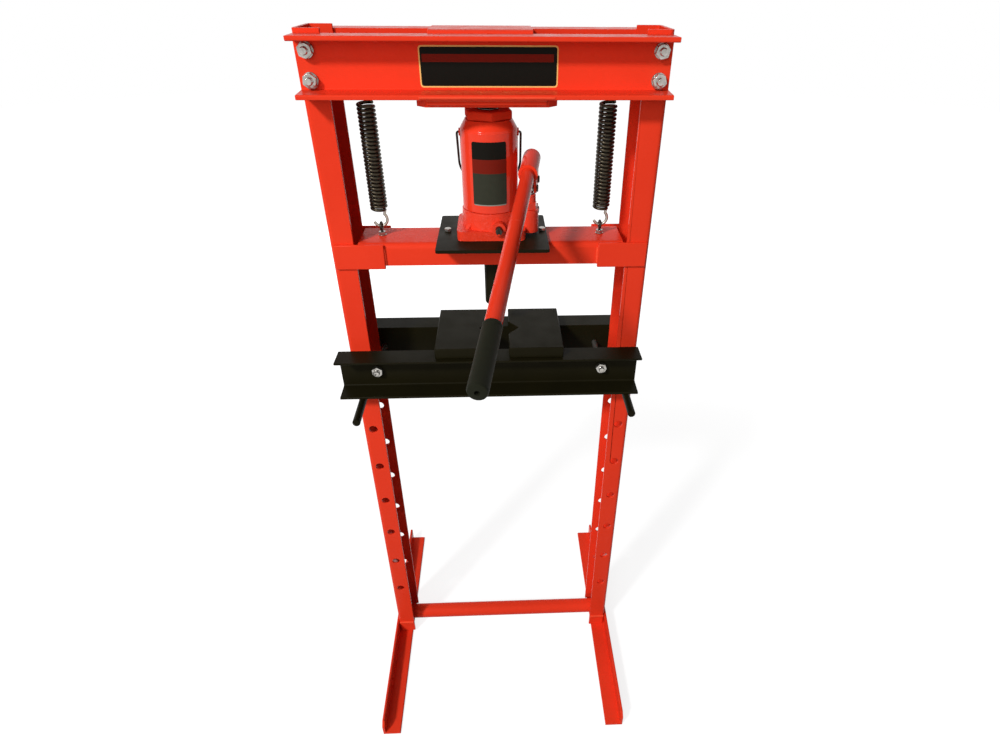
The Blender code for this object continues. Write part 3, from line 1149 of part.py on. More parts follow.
def build_bed():
    bed = empty("bed_middle", (BED_OFFSET_X, 0.0, 0.0), 0.0, ROOT)
    radius = TIE_DIAMETER / 2 + SEAT_GAP
    for name, face in FACES:
        corners = channel_corners(face, BED_TIP_THICKNESS, BED_ROOT_THICKNESS, BED_ROOT_FILLET)
        mesh = outline_mesh("bed_channel_" + name, corners, BED_LENGTH, ALONG_X)
        part = put("bed_channel_" + name, mesh, "black", (0.0, face * CHANNEL_BACK_Y, BED_MIDDLE_Z), bed)
        inside = face * (CHANNEL_BACK_Y - CUT_OVERRUN)
        outside = face * (CHANNEL_BACK_Y + CHANNEL_WEB + CUT_OVERRUN)
        for side_name, tie_x in TIE_PLACES:
            along = tie_x - BED_OFFSET_X
            cut(part, rod_mesh(side_name + "_tie_hole", radius, (along, inside, BED_MIDDLE_Z),
                               (along, outside, BED_MIDDLE_Z), SMALL_STEPS))
    # Tie bolts run from channel to channel just inside the uprights.
    seat = CHANNEL_BACK_Y + CHANNEL_WEB + SEAT_GAP
    nut = seat + HEX_HEIGHT
    tail = nut + TIE_TAIL
    radius = HEX_ACROSS_FLATS / math.sqrt(3.0)
    for name, tie_x in TIE_PLACES:
        along = tie_x - BED_OFFSET_X
        mesh = rod_mesh("bed_tie_" + name, TIE_DIAMETER / 2, (0.0, -tail, 0.0),
                        (0.0, nut - HEX_HEIGHT / 2, 0.0), SMALL_STEPS)
        part = put("bed_tie_" + name, mesh, "zinc", (along, 0.0, BED_MIDDLE_Z), bed)
        place = (along, 0.0, BED_MIDDLE_Z)
        add(part, rod_mesh(name + "_tie_nut", radius, (0.0, -nut, 0.0), (0.0, -seat, 0.0), 6), place)
        add(part, rod_mesh(name + "_tie_head", radius, (0.0, seat, 0.0), (0.0, nut, 0.0), 6), place)
    # Arbor plates with a V notch in the edges that face each other
    width = ARBOR_WIDTH / 2
    depth = ARBOR_DEPTH / 2
    notch = ARBOR_NOTCH_HALF_WIDTH
    height = BED_TOP + SEAT_GAP + ARBOR_THICKNESS / 2
    for name, side in SIDES:
        inner = -side * width
        corners = [(inner, -depth, 0), (inner, -notch, 0), (inner + side * ARBOR_NOTCH_DEPTH, 0.0, 0),
                   (inner, notch, 0), (inner, depth, 0), (side * width, depth, 0), (side * width, -depth, 0)]
        mesh = outline_mesh("arbor_plate_" + name, corners, ARBOR_THICKNESS)
        middle = ARBOR_MIDDLE_X + side * (ARBOR_GAP / 2 + width)
        plate = put("arbor_plate_" + name, mesh, "black", (middle, 0.0, height), ROOT)
        soften(plate, ARBOR_EDGE, 1, 50.0)
    # Bed pins lie in the uprights' holes and carry both channels.
    for name, side in SIDES:
        # The left pin is pushed in a little less far than the right one.
        shift = BED_PIN_LEFT_SHIFT if side < 0.0 else 0.0
        radius = BED_PIN_DIAMETER / 2
        chamfer = BED_PIN_CHAMFER
        turned("bed_pin_" + name, [(0.0, BED_PIN_FRONT), (radius - chamfer, BED_PIN_FRONT),
                                   (radius, BED_PIN_FRONT - chamfer), (radius, chamfer - BED_PIN_REAR),
                                   (radius - chamfer, -BED_PIN_REAR), (0.0, -BED_PIN_REAR)], "black",
               (side * BED_PIN_X, -shift, BED_PIN_Z), ROOT, (math.radians(90.0), 0.0, 0.0), SMALL_STEPS)


def main():
    build_uprights()
    build_feet()
    build_crossbar()
    build_top_beam()
    build_beam_bolts()
    build_crosshead()
    build_spring_anchors()
    build_eye_bolts()
    build_springs()
    build_jack_seat()
    build_jack()
    build_bed()
    bpy.context.view_layer.update()


main()
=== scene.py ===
"""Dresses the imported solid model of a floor-standing hydraulic shop press.

Every sheet, casting, fastener, spring and label is built over its solid and given its finish, then the
stage, the light and the camera are set up.
"""

import json
import math

import bpy
from mathutils import Matrix, Vector

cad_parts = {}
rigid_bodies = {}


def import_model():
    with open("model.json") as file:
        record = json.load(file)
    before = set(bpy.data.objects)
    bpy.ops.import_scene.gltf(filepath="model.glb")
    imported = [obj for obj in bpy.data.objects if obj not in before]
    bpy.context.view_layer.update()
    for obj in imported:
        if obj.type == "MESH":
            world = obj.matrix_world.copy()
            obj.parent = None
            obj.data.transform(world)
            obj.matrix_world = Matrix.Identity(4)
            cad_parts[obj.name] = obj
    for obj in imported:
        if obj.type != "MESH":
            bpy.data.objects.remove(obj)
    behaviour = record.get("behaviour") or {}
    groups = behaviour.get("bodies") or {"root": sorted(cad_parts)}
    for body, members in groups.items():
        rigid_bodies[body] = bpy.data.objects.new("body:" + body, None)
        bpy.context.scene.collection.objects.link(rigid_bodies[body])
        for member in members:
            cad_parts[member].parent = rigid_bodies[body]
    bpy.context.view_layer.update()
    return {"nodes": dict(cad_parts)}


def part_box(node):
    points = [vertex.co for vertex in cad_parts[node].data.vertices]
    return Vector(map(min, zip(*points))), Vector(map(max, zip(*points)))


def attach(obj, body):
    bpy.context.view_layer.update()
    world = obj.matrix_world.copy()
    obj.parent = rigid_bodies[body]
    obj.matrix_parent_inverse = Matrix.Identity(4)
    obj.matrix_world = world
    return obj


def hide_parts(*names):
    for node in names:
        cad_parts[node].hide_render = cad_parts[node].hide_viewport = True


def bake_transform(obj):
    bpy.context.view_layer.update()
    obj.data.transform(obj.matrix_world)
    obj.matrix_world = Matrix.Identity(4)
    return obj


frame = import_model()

bl_info = {
    "name": "Hydraulic shop press",
    "version": (1, 0, 0),
    "blender": (4, 5, 0),
    "location": "3D View > Sidebar > Press",
    "description": "Builds the visible pieces, finishes, light and camera of a hydraulic shop press",
    "category": "Object",
}

# The press stands on the floor with its front toward -Y. Lengths are metres.
UP = Vector((0.0, 0.0, 1.0))
RIGHT = Vector((1.0, 0.0, 0.0))
REARWARD = Vector((0.0, 1.0, 0.0))
FORWARD = Vector((0.0, -1.0, 0.0))
MIDDLE_Y = (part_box("left_upright")[0].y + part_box("left_upright")[1].y) / 2
ON_MIDDLE = (0.0, MIDDLE_Y, 0.0)
SIDES = (("left", -1.0), ("right", 1.0))
FACES = (("front", -1.0), ("rear", 1.0))
CROSSHEAD_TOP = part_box("crosshead_body")[1].z
UNDER_CROSSHEAD_TOP = CROSSHEAD_TOP - 0.0063
PUMP_YAW = math.radians(-8.4)
HANDLE_DROP = math.radians(10.1)
PIN_LINE = Vector((math.cos(PUMP_YAW), math.sin(PUMP_YAW), 0.0))
HANDLE_LINE = Vector((math.sin(PUMP_YAW) * math.cos(HANDLE_DROP),
                      -math.cos(PUMP_YAW) * math.cos(HANDLE_DROP), -math.sin(HANDLE_DROP)))

# Room between pieces that touch, then the rounding of small pieces, fine to coarse
HAIR = 0.0003
FINE_EASE = 0.0003
FINE_EDGE = 0.0004
SOFT_EDGE = 0.0006
LINK_EDGE = 0.0008

# Radii of the weld beads that aren't at the feet
PLATE_BEAD = 0.0020
LIP_BEAD = 0.0017
STRAP_BEAD = 0.0024

# Fasteners
BOLT_FLATS = 0.0170
BOLT_RADIUS = 0.0050
HEAD_HEIGHT = 0.0070
NUT_HEIGHT = 0.0085
BEAM_BOLT_GRIP = 0.0104
WASHER_THICKNESS = 0.0022
SMALL_FLATS = 0.0100
SMALL_NUT_HEIGHT = 0.0045
# How far each beam bolt is turned, upper then lower, in degrees
BOLT_TURNS = {"front_left": (8.0, -9.0), "front_right": (-14.0, 17.0), "rear_left": (21.0, 5.0),
              "rear_right": (3.0, -20.0)}

# Return springs and eye bolts
SPRING_X = 0.1730
COIL_RADIUS = 0.0112
SPRING_WIRE = 0.0023
HOOK_RADIUS = 0.0105
ANCHOR_RADIUS = 0.0040
EYE_RADIUS = 0.0055
EYE_WIRE = 0.00225
EYE_RISE = 0.0140

# Jack
CYLINDER_RADIUS = 0.0425
BAIL_RISE = 0.1465


def linear(code):
    """A hex sRGB value as linear red, green, blue and alpha."""
    parts = [int(code[place:place + 2], 16) / 255 for place in (1, 3, 5)]
    return [part / 12.92 if part <= 0.04045 else ((part + 0.055) / 1.055) ** 2.4 for part in parts] + [1.0]


WHITE = linear("#FFFFFF")


def colour_choice(name, description, code):
    return bpy.props.FloatVectorProperty(name=name, description=description, subtype="COLOR", size=4,
                                         min=0.0, max=1.0, default=linear(code))


def length_choice(name, description, default):
    return bpy.props.FloatProperty(name=name, description=description, default=default, min=0.0,
                                   subtype="DISTANCE", unit="LENGTH")


class PressSizes(bpy.types.PropertyGroup):
    """Small lengths that the solid model leaves to the dressed pieces."""
    sheet_edge: length_choice("Sheet edge", "Rounding of sheared and rolled steel edges", 0.0007)
    cast_edge: length_choice("Cast edge", "Rounding of cast edges", 0.0008)
    plate_edge: length_choice("Plate edge", "Rounding of the heavy plates' edges", 0.0005)
    bead_radius: length_choice("Weld bead", "Radius of the welds at the feet", 0.0026)
    label_skin: length_choice("Label skin", "Thickness of a printed label", 0.0003)
    thread_pitch: length_choice("Thread pitch", "Pitch of the large bolts' threads", 0.00175)


class PressColours(bpy.types.PropertyGroup):
    """Colours of the finishes."""
    enamel: colour_choice("Enamel", "Gloss enamel of the frame and jack", "#E93E24")
    enamel_deep: colour_choice("Enamel, deep", "Enamel where the coat is thicker", "#DD351D")
    satin: colour_choice("Satin black", "Paint of the bed, plates and jack seat", "#1D1A0C")
    satin_deep: colour_choice("Satin black, deep", "The same paint where it is thicker", "#121007")
    zinc: colour_choice("Zinc", "Plated nuts and bolts", "#B9B6B0")
    label_ground: colour_choice("Label ground", "Black ground of the labels", "#15130F")
    label_line: colour_choice("Label line", "Cream border round the beam's label", "#F0C272")
    label_band: colour_choice("Label band", "Dark red band on the labels", "#6E1C12")


def sizes():
    return bpy.context.scene.press_sizes


def colours():
    return bpy.context.scene.press_colours


def clear():
    if bpy.context.object and bpy.context.object.mode != "OBJECT":
        bpy.ops.object.mode_set(mode="OBJECT")
    bpy.ops.object.select_all(action="DESELECT")


def take(*pieces):
    clear()
    for piece in pieces:
        piece.select_set(True)
    bpy.context.view_layer.objects.active = pieces[0]


def named(piece, name):
    piece.name = name
    piece.data.name = name
    return piece


def apply_modifier(piece, kind, **settings):
    take(piece)
    bpy.ops.object.modifier_add(type=kind)
    modifier = piece.modifiers[-1]
    for key, value in settings.items():
        setattr(modifier, key, value)
    bpy.ops.object.modifier_apply(modifier=modifier.name)


def edit(piece):
    """Opens a piece in edit mode, with all of it selected."""
    take(piece)
    bpy.ops.object.mode_set(mode="EDIT")
    bpy.ops.mesh.select_all(action="SELECT")


def merge_points(piece):
    edit(piece)
    bpy.ops.mesh.remove_doubles(threshold=0.000004)
    bpy.ops.mesh.normals_make_consistent(inside=False)
    bpy.ops.object.mode_set(mode="OBJECT")


def settle():
    """Moves the selected piece's own place and turn into its mesh."""
    bpy.ops.object.transform_apply(location=True, rotation=True, scale=True)


def placed(piece, matrix):
    take(piece)
    piece.matrix_world = matrix
    settle()
    return piece


def laid(piece, base, line):
    """Puts a piece modelled upright at the origin on its base, along a line."""
    aim = Vector(line).to_track_quat("Z", "Y").to_matrix().to_4x4()
    return placed(piece, Matrix.Translation(Vector(base)) @ aim)


def about(axis, degrees):
    return Matrix.Rotation(math.radians(degrees), 4, axis)


def copied(source, name):
    """A copy with its own mesh."""
    piece = source.copy()
    piece.data = source.data.copy()
    bpy.context.scene.collection.objects.link(piece)
    return named(piece, name)


def twin(pattern, name, matrix):
    """A copy with its own mesh, put in place."""
    return placed(copied(pattern, name), matrix)


def joined(name, pieces):
    take(*pieces)
    bpy.ops.object.join()
    return named(bpy.context.object, name)


def drop(piece):
    mesh = piece.data
    bpy.data.objects.remove(piece, do_unlink=True)
    bpy.data.meshes.remove(mesh)


def finish(piece, material, smooth=38.0, weighted=True):
    take(piece)
    piece.data.materials.clear()
    piece.data.materials.append(material)
    bpy.ops.object.shade_smooth_by_angle(angle=math.radians(smooth))
    if weighted:
        apply_modifier(piece, "WEIGHTED_NORMAL", mode="FACE_AREA", weight=50, keep_sharp=True)


def body_of(node):
    return frame["nodes"][node].parent.name.split(":")[1]


def stands_for(piece, *nodes):
    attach(piece, body_of(nodes[0]))
    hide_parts(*nodes)


def joined_for(node, pieces, material):
    """Pieces joined into one that stands for a solid, with its finish on."""
    piece = joined(node + "_finished", pieces)
    finish(piece, material)
    stands_for(piece, node)


def dressed(node, material, edge):
    """A copy of a solid with its flats merged, its edges rounded and its finish on."""
    clear()
    piece = copied(frame["nodes"][node], node + "_finished")
    piece.parent = None
    piece.matrix_world = Matrix.Identity(4)
    edit(piece)
    bpy.ops.mesh.remove_doubles(threshold=0.00001)
    bpy.ops.mesh.dissolve_limited(angle_limit=math.radians(0.5))
    bpy.ops.object.mode_set(mode="OBJECT")
    apply_modifier(piece, "BEVEL", width=edge, segments=2, limit_method="ANGLE",
                   angle_limit=math.radians(40.0), use_clamp_overlap=True)
    finish(piece, material)
    stands_for(piece, node)


def turned(name, profile, base=(0.0, 0.0, 0.0), line=UP, steps=64):
    """A turned piece. The profile holds radius and height pairs, bottom to top round the outside."""
    clear()
    bpy.ops.mesh.primitive_plane_add(size=0.001)
    piece = named(bpy.context.object, name)
    edit(piece)
    bpy.ops.mesh.merge(type="CENTER")
    bpy.ops.transform.translate(value=(profile[0][0], 0.0, profile[0][1]))
    for before, after in zip(profile, profile[1:]):
        step = (after[0] - before[0], 0.0, after[1] - before[1])
        bpy.ops.mesh.extrude_region_move(TRANSFORM_OT_translate={"value": step})
    bpy.ops.mesh.select_all(action="SELECT")
    bpy.ops.mesh.spin(steps=steps, angle=math.tau, center=(0.0, 0.0, 0.0), axis=(0.0, 0.0, 1.0))
    bpy.ops.object.mode_set(mode="OBJECT")
    merge_points(piece)
    return laid(piece, base, line)


def turned_for(node, profile, material, base=ON_MIDDLE, line=UP, steps=72):
    """A turned piece that stands for a solid, with its finish on."""
    piece = turned(node + "_finished", profile, base, line, steps)
    finish(piece, material)
    stands_for(piece, node)


def eased(radius, low, high, ease):
    """The outside of a rod with eased ends, as a turning profile."""
    small = ease * 0.3
    return [(0.0, low), (radius - ease, low), (radius - small, low + small), (radius, low + ease),
            (radius, high - ease), (radius - small, high - small), (radius - ease, high), (0.0, high)]


def ring(inside, outside, low, high, ease):
    """The section of a tube or washer with eased edges, as a closed turning profile."""
    return [(inside, low), (outside - ease, low), (outside, low + ease), (outside, high - ease),
            (outside - ease, high), (inside, high), (inside, low)]


def threaded(radius, low, high, pitch):
    """A threaded rod's outside as a turning profile: one ridge for each turn, and eased ends."""
    depth = pitch * 0.5
    points = [(0.0, low), (radius - depth, low)]
    count = max(1, int((high - low - depth) / pitch))
    for step in range(count):
        start = low + depth * 0.5 + step * pitch
        points += [(radius - depth, start), (radius, start + pitch * 0.45), (radius, start + pitch * 0.55)]
    return points + [(radius - depth, high - depth * 0.3), (radius - depth * 1.4, high), (0.0, high)]


def rod_ends(node, line):
    """The middles of a straight solid's two end faces."""
    points = [Vector(vertex.co) for vertex in frame["nodes"][node].data.vertices]
    reach = [point.dot(line) for point in points]
    ends = []
    for limit in (min(reach), max(reach)):
        rim = {tuple(round(value, 6) for value in point) for point, along in zip(points, reach)
               if abs(along - limit) < 0.0002}
        ends.append(sum((Vector(point) for point in rim), Vector()) / len(rim))
    return ends


def hexagon(name, flats, height, low_chamfer=True):
    """A nut or bolt head: a hexagon prism whose corners are turned off at thirty degrees."""
    corner = flats / math.sqrt(3.0)
    clear()
    bpy.ops.mesh.primitive_cylinder_add(vertices=6, radius=corner, depth=height * 1.4,
                                        location=(0.0, 0.0, height / 2))
    piece = named(bpy.context.object, name)
    settle()
    face = flats * 0.475
    fall = (corner - face) * math.tan(math.radians(30.0)) * 1.05
    rim = corner * 1.02
    foot = [(0.0, 0.0), (face, 0.0), (rim, fall)] if low_chamfer else [(0.0, 0.0), (rim, 0.0)]
    outline = foot + [(rim, height - fall), (face, height), (0.0, height)]
    cone = turned(name + "_cone", outline, steps=72)
    apply_modifier(piece, "BOOLEAN", operation="INTERSECT", solver="EXACT", object=cone)
    drop(cone)
    merge_points(piece)
    apply_modifier(piece, "BEVEL", width=0.00018, segments=2, limit_method="ANGLE",
                   angle_limit=math.radians(32.0))
    return piece


def wire(name, points, radius, sides):
    """A round wire drawn along a line of points."""
    clear()
    bpy.ops.curve.primitive_bezier_curve_add()
    path = bpy.context.object.data
    path.splines.clear()
    spline = path.splines.new("POLY")
    spline.points.add(len(points) - 1)
    for point, place in zip(spline.points, points):
        point.co = (*place, 1.0)
    path.dimensions = "3D"
    path.bevel_depth = radius
    path.bevel_resolution = sides
    path.use_fill_caps = True
    bpy.ops.object.convert(target="MESH")
    piece = named(bpy.context.object, name)
    merge_points(piece)
    return piece


def bead(name, start, end, radius, body):
    """A weld bead: overlapping flattened drops, each a little further on."""
    start = Vector(start)
    run = Vector(end) - start
    count = max(3, round(run.length / (radius * 0.62)))
    clear()
    bpy.ops.mesh.primitive_uv_sphere_add(segments=14, ring_count=8, radius=radius)
    piece = named(bpy.context.object, name)
    edit(piece)
    bpy.ops.transform.resize(value=(1.0, 1.0, 0.7))
    bpy.ops.object.mode_set(mode="OBJECT")
    apply_modifier(piece, "ARRAY", count=count, use_relative_offset=False, use_constant_offset=True,
                   constant_offset_displace=(0.0, 0.0, run.length / (count - 1)))
    laid(piece, start, run)
    # The bead's finish carries a painted highlight: a lighter orange-red is mixed into its enamel.
    finish(piece, highlit_weld_enamel(), weighted=False)
    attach(piece, body)


# Finishes

def add_node(tree, kind, inputs=None, **settings):
    node = tree.nodes.new(kind)
    for key, value in settings.items():
        setattr(node, key, value)
    for key, value in (inputs or {}).items():
        if isinstance(value, bpy.types.NodeSocket):
            tree.links.new(value, node.inputs[key])
        else:
            node.inputs[key].default_value = value
    return node


def empty_tree(owner):
    owner.use_nodes = True
    owner.node_tree.nodes.clear()
    return owner.node_tree


def between(tree, value, low, high):
    """One inside a band of a coordinate, and zero outside it."""
    above = add_node(tree, "ShaderNodeMath", {0: value, 1: low}, operation="GREATER_THAN")
    below = add_node(tree, "ShaderNodeMath", {0: value, 1: high}, operation="LESS_THAN")
    return add_node(tree, "ShaderNodeMath", {0: above.outputs[0], 1: below.outputs[0]},
                    operation="MULTIPLY").outputs[0]


def white_rays(tree):
    """One for rays that show the background, straight, mirrored or through glass, and zero for others."""
    path = add_node(tree, "ShaderNodeLightPath").outputs
    seen = add_node(tree, "ShaderNodeMath", {0: path["Is Camera Ray"], 1: path["Is Glossy Ray"]},
                    operation="MAXIMUM")
    through = add_node(tree, "ShaderNodeMath", {0: seen.outputs[0], 1: path["Is Transmission Ray"]},
                       operation="MAXIMUM")
    return through.outputs[0]


def mottled(name, shades, gloss, drift, rub=None, grain=None, relief=None, shade_band=(0.0, 1.0),
            gloss_band=(0.0, 1.0), stretch=None, swelling=False, fields=(), **constants):
    """A finish drawn by up to three noises, each given as its scale per metre and its detail.

    Drift moves the colour between two shades, rub the roughness from shiny to dull, and grain the
    surface, by relief's strength and depth. Rub and grain follow drift where they aren't given. A band
    is the part of the noise that is used, and fields are flat bands of colour printed on top.
    """
    found = bpy.data.materials.get(name)
    if found:
        return found
    material = bpy.data.materials.new(name)
    tree = empty_tree(material)
    place = add_node(tree, "ShaderNodeTexCoord").outputs["Object"]
    axes = add_node(tree, "ShaderNodeSeparateXYZ", {"Vector": place}) if fields else None
    if stretch:
        place = add_node(tree, "ShaderNodeMapping", {"Vector": place, "Scale": stretch}).outputs[0]
    rub = rub or drift
    grain = grain or drift
    noise = {}
    for each in dict.fromkeys((drift, rub, grain)):
        scale, detail = each
        source = add_node(tree, "ShaderNodeTexNoise", {"Vector": place, "Scale": scale, "Detail": detail})
        noise[each] = source.outputs["Fac"]
    share = add_node(tree, "ShaderNodeMapRange", {"Value": noise[drift], "From Min": shade_band[0],
                                                  "From Max": shade_band[1]})
    tone = add_node(tree, "ShaderNodeMix", {"Factor": share.outputs[0], 6: shades[0], 7: shades[1]},
                    data_type="RGBA").outputs[2]
    for x_band, z_band, colour in fields:
        across = between(tree, axes.outputs["X"], *x_band)
        upward = between(tree, axes.outputs["Z"], *z_band)
        inside = add_node(tree, "ShaderNodeMath", {0: across, 1: upward}, operation="MULTIPLY")
        tone = add_node(tree, "ShaderNodeMix", {"Factor": inside.outputs[0], 6: tone, 7: colour},
                        data_type="RGBA").outputs[2]
    rough = add_node(tree, "ShaderNodeMapRange", {
        "Value": noise[rub], "From Min": gloss_band[0], "From Max": gloss_band[1], "To Min": gloss[0],
        "To Max": gloss[1]})
    sockets = {key.replace("_", " "): value for key, value in constants.items()}
    sockets.update({"Base Color": tone, "Roughness": rough.outputs[0]})
    if relief:
        height = noise[grain]
        if swelling:
            both = add_node(tree, "ShaderNodeMath", {0: noise[drift], 1: height}, operation="ADD")
            height = both.outputs[0]
        bump = add_node(tree, "ShaderNodeBump", {"Height": height, "Strength": relief[0],
                                                 "Distance": relief[1]})
        sockets["Normal"] = bump.outputs[0]
    shader = add_node(tree, "ShaderNodeBsdfPrincipled", sockets)
    add_node(tree, "ShaderNodeOutputMaterial", {"Surface": shader.outputs[0]})
    return material


# Each enamel's name, specular level, and roughness where it is shiny and where it is dull
ENAMELS = {
    "sheet": ("gloss_enamel_sprayed", 0.06, (0.24, 0.38)),
    "jack": ("gloss_enamel_baked", 0.2, (0.1, 0.24)),
    "tube": ("gloss_enamel_on_tube", 0.04, (0.14, 0.3)),
    "greasy": ("enamel_dulled_by_grease", 0.02, (0.6, 0.8)),
}


def enamel_shades():
    return colours().enamel, colours().enamel_deep


def enamel(kind="sheet"):
    # Enamel over steel: a bright wet coat, a little deeper where it pooled, with a faint orange peel
    # of 3 mm and a few dull rubs. The jack's baked coat is the glossiest, the coat on the handle and
    # its socket is between, and grease dulls the cap nut round the rod.
    name, level, gloss = ENAMELS[kind]
    return mottled(name, enamel_shades(), gloss, (8.0, 3.0), rub=(45.0, 5.0), grain=(330.0, 1.0),
                   relief=(0.25, 0.0002), gloss_band=(0.35, 0.75), IOR=1.5, Specular_IOR_Level=level)


def cast_enamel():
    # Enamel over sand-cast iron: the same coat over a 1.5 mm sand grain, with darker pits.
    sand = (650.0, 3.0)
    return mottled("gloss_enamel_on_casting", enamel_shades(), (0.15, 0.35), (90.0, 2.0), rub=sand,
                   grain=sand, relief=(0.8, 0.0014), swelling=True, IOR=1.5, Specular_IOR_Level=0.2)


def highlit_weld_enamel():
    # Enamel over a weld, mixed with a lighter orange-red: painted highlight, standing in for the bright
    # line along the beads.
    return mottled("gloss_enamel_on_weld", (linear("#EE5532"), colours().enamel), (0.25, 0.45),
                   (500.0, 4.0), relief=(0.5, 0.0003), IOR=1.5, Specular_IOR_Level=0.15)


def satin_black():
    # Satin black paint brushed over rolled steel: near black with a warm cast, fine 1 mm texture,
    # dusty and a little browner in patches.
    return mottled("satin_black_paint", (colours().satin, colours().satin_deep), (0.34, 0.5), (22.0, 5.0),
                   grain=(900.0, 2.0), relief=(0.4, 0.0002), gloss_band=(0.3, 0.7), IOR=1.5,
                   Specular_IOR_Level=0.04)


def zinc_plate():
    # Zinc-plated steel: pale grey metal, softly mottled by the passivated skin.
    return mottled("zinc_plated_steel", (colours().zinc, linear("#918B83")), (0.1, 0.3), (190.0, 4.0),
                   relief=(0.15, 0.0002), shade_band=(0.35, 0.85), Metallic=0.85)


def spring_steel():
    # Phosphated spring wire: dark brown-grey, with a dull metal glint along each coil.
    return mottled("phosphated_spring_wire", (linear("#4F483A"), linear("#211D16")), (0.25, 0.45),
                   (300.0, 3.0), Metallic=0.85)


def pale_hook_steel():
    # The same wire in a pale bare-steel grey, used on the lower hook.
    return mottled("worn_spring_wire", (linear("#BCB8AC"), linear("#A29D90")), (0.25, 0.45), (300.0, 3.0),
                   Metallic=0.85)


def ground_steel_painted_shade():
    # Hard-chromed, ground piston rod, coloured a grey well below bright chrome: painted shade for the dim
    # gap round the piston, with fine rings round the rod drawn at 1.2 mm to show.
    return mottled("ground_chromed_steel", (linear("#8C8A84"), linear("#66645E")), (0.1, 0.24), (1.0, 2.0),
                   stretch=(4.0, 4.0, 800.0), Metallic=1.0)


def oiled_steel():
    # Blackened, oiled machine steel: dark, with brighter rubbed patches.
    return mottled("blackened_oiled_steel", (linear("#24211C"), linear("#454039")), (0.3, 0.5),
                   (120.0, 5.0), Metallic=0.8)


def rubber():
    # Moulded rubber: matt dark green-grey, with a fine 1 mm skin and dust in its grain.
    return mottled("moulded_rubber", (linear("#16170F"), linear("#212219")), (0.5, 0.7), (150.0, 4.0),
                   grain=(1000.0, 1.0), relief=(0.4, 0.0002), IOR=1.5, Specular_IOR_Level=0.05)


def printed_label(name, fields, ground):
    # Screen-printed vinyl: flat bright fields under a thin gloss laminate with small ripples.
    return mottled(name, (ground, [part * 0.8 for part in ground[:3]] + [1.0]), (0.25, 0.4), (120.0, 2.0),
                   relief=(0.2, 0.0003), fields=fields, IOR=1.46, Specular_IOR_Level=0.05)


class PRESS_OT_frame_steel(bpy.types.Operator):
    """Uprights, feet, crossbar, beams, centre block and thrust plate"""
    bl_idname = "press.frame_steel"
    bl_label = "Frame steel"

    def execute(self, context):
        for node in ("left_upright", "right_upright", "left_foot", "right_foot", "top_beam_front",
                     "top_beam_rear", "beam_centre_block"):
            dressed(node, enamel(), sizes().sheet_edge)
        dressed("thrust_plate", enamel(), sizes().plate_edge)
        low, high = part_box("crossbar")
        radius = (high.z - low.z) / 2
        wall = 0.003
        turned_for("crossbar", ring(radius - wall, radius, low.x, high.x, FINE_EDGE), enamel(),
                   (0.0, MIDDLE_Y, (low.z + high.z) / 2), RIGHT)
        self.beam_welds()
        self.foot_welds()
        return {"FINISHED"}

    def beam_welds(self):
        # Beads along the plate under the beams and along each beam's lower lip.
        low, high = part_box("thrust_plate")
        inset = 0.016
        lip_left, lip_right = -0.0870, 0.0885
        for name, face in FACES:
            y = MIDDLE_Y + face * (high.y - low.y) / 2 + face * 0.0002
            z = high.z - 0.0006
            bead("plate_weld_" + name, (low.x + inset, y, z), (high.x - inset, y, z), PLATE_BEAD,
                 "press_frame")
            lip_low, lip_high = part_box("top_beam_" + name)
            y = (lip_low.y if face < 0.0 else lip_high.y) - face * 0.0004
            z = lip_low.z + 0.0026
            bead("lip_weld_" + name, (lip_left, y, z), (lip_right, y, z), LIP_BEAD, "press_frame")

    def foot_welds(self):
        # Beads where the front and rear of each upright stand on its foot.
        upright_half = 0.0415
        inner, outer, z = 0.2140, 0.2440, 0.0370
        for side_name, side in SIDES:
            for face_name, face in FACES:
                y = MIDDLE_Y + face * upright_half + face * 0.0008
                bead("foot_weld_%s_%s" % (side_name, face_name), (side * inner, y, z), (side * outer, y, z),
                     sizes().bead_radius, "press_frame")


class PRESS_OT_frame_bolts(bpy.types.Operator):
    """Bolts, washers and nuts that hold the beams to the uprights"""
    bl_idname = "press.frame_bolts"
    bl_label = "Frame bolts"

    def execute(self, context):
        nut_seat = BEAM_BOLT_GRIP + WASHER_THICKNESS
        tip = nut_seat + NUT_HEIGHT + 0.0055
        tail = threaded(BOLT_RADIUS, nut_seat + NUT_HEIGHT * 0.5, tip, sizes().thread_pitch)
        bore = 0.0051
        washer_radius = 0.0100
        cap = hexagon("head_pattern", BOLT_FLATS, HEAD_HEIGHT)
        pieces = [
            twin(cap, "bolt_head", Matrix.Translation(UP * -HEAD_HEIGHT)),
            turned("bolt_shank", eased(BOLT_RADIUS, -0.004, nut_seat, FINE_EASE)),
            turned("bolt_washer", ring(bore, washer_radius, BEAM_BOLT_GRIP, nut_seat, FINE_EASE)),
            twin(cap, "bolt_nut",
                 Matrix.Translation(UP * nut_seat) @ Matrix.Scale(NUT_HEIGHT / HEAD_HEIGHT, 4, UP)),
            turned("bolt_tail", tail),
        ]
        drop(cap)
        pattern = joined("beam_bolt_pattern", pieces)
        finish(pattern, zinc_plate())
        for corner, turns in BOLT_TURNS.items():
            face = -1.0 if corner.startswith("front") else 1.0
            for level, degrees in zip(("upper", "lower"), turns):
                node = "beam_bolt_%s_%s" % (corner, level)
                low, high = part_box(node)
                start = high.y - HEAD_HEIGHT if face < 0.0 else low.y + HEAD_HEIGHT
                place = Matrix.Translation(((low.x + high.x) / 2, start, (low.z + high.z) / 2))
                lay = about("X", -90.0 * face) @ about("Z", degrees)
                stands_for(twin(pattern, node + "_finished", place @ lay), node)
        drop(pattern)
        return {"FINISHED"}


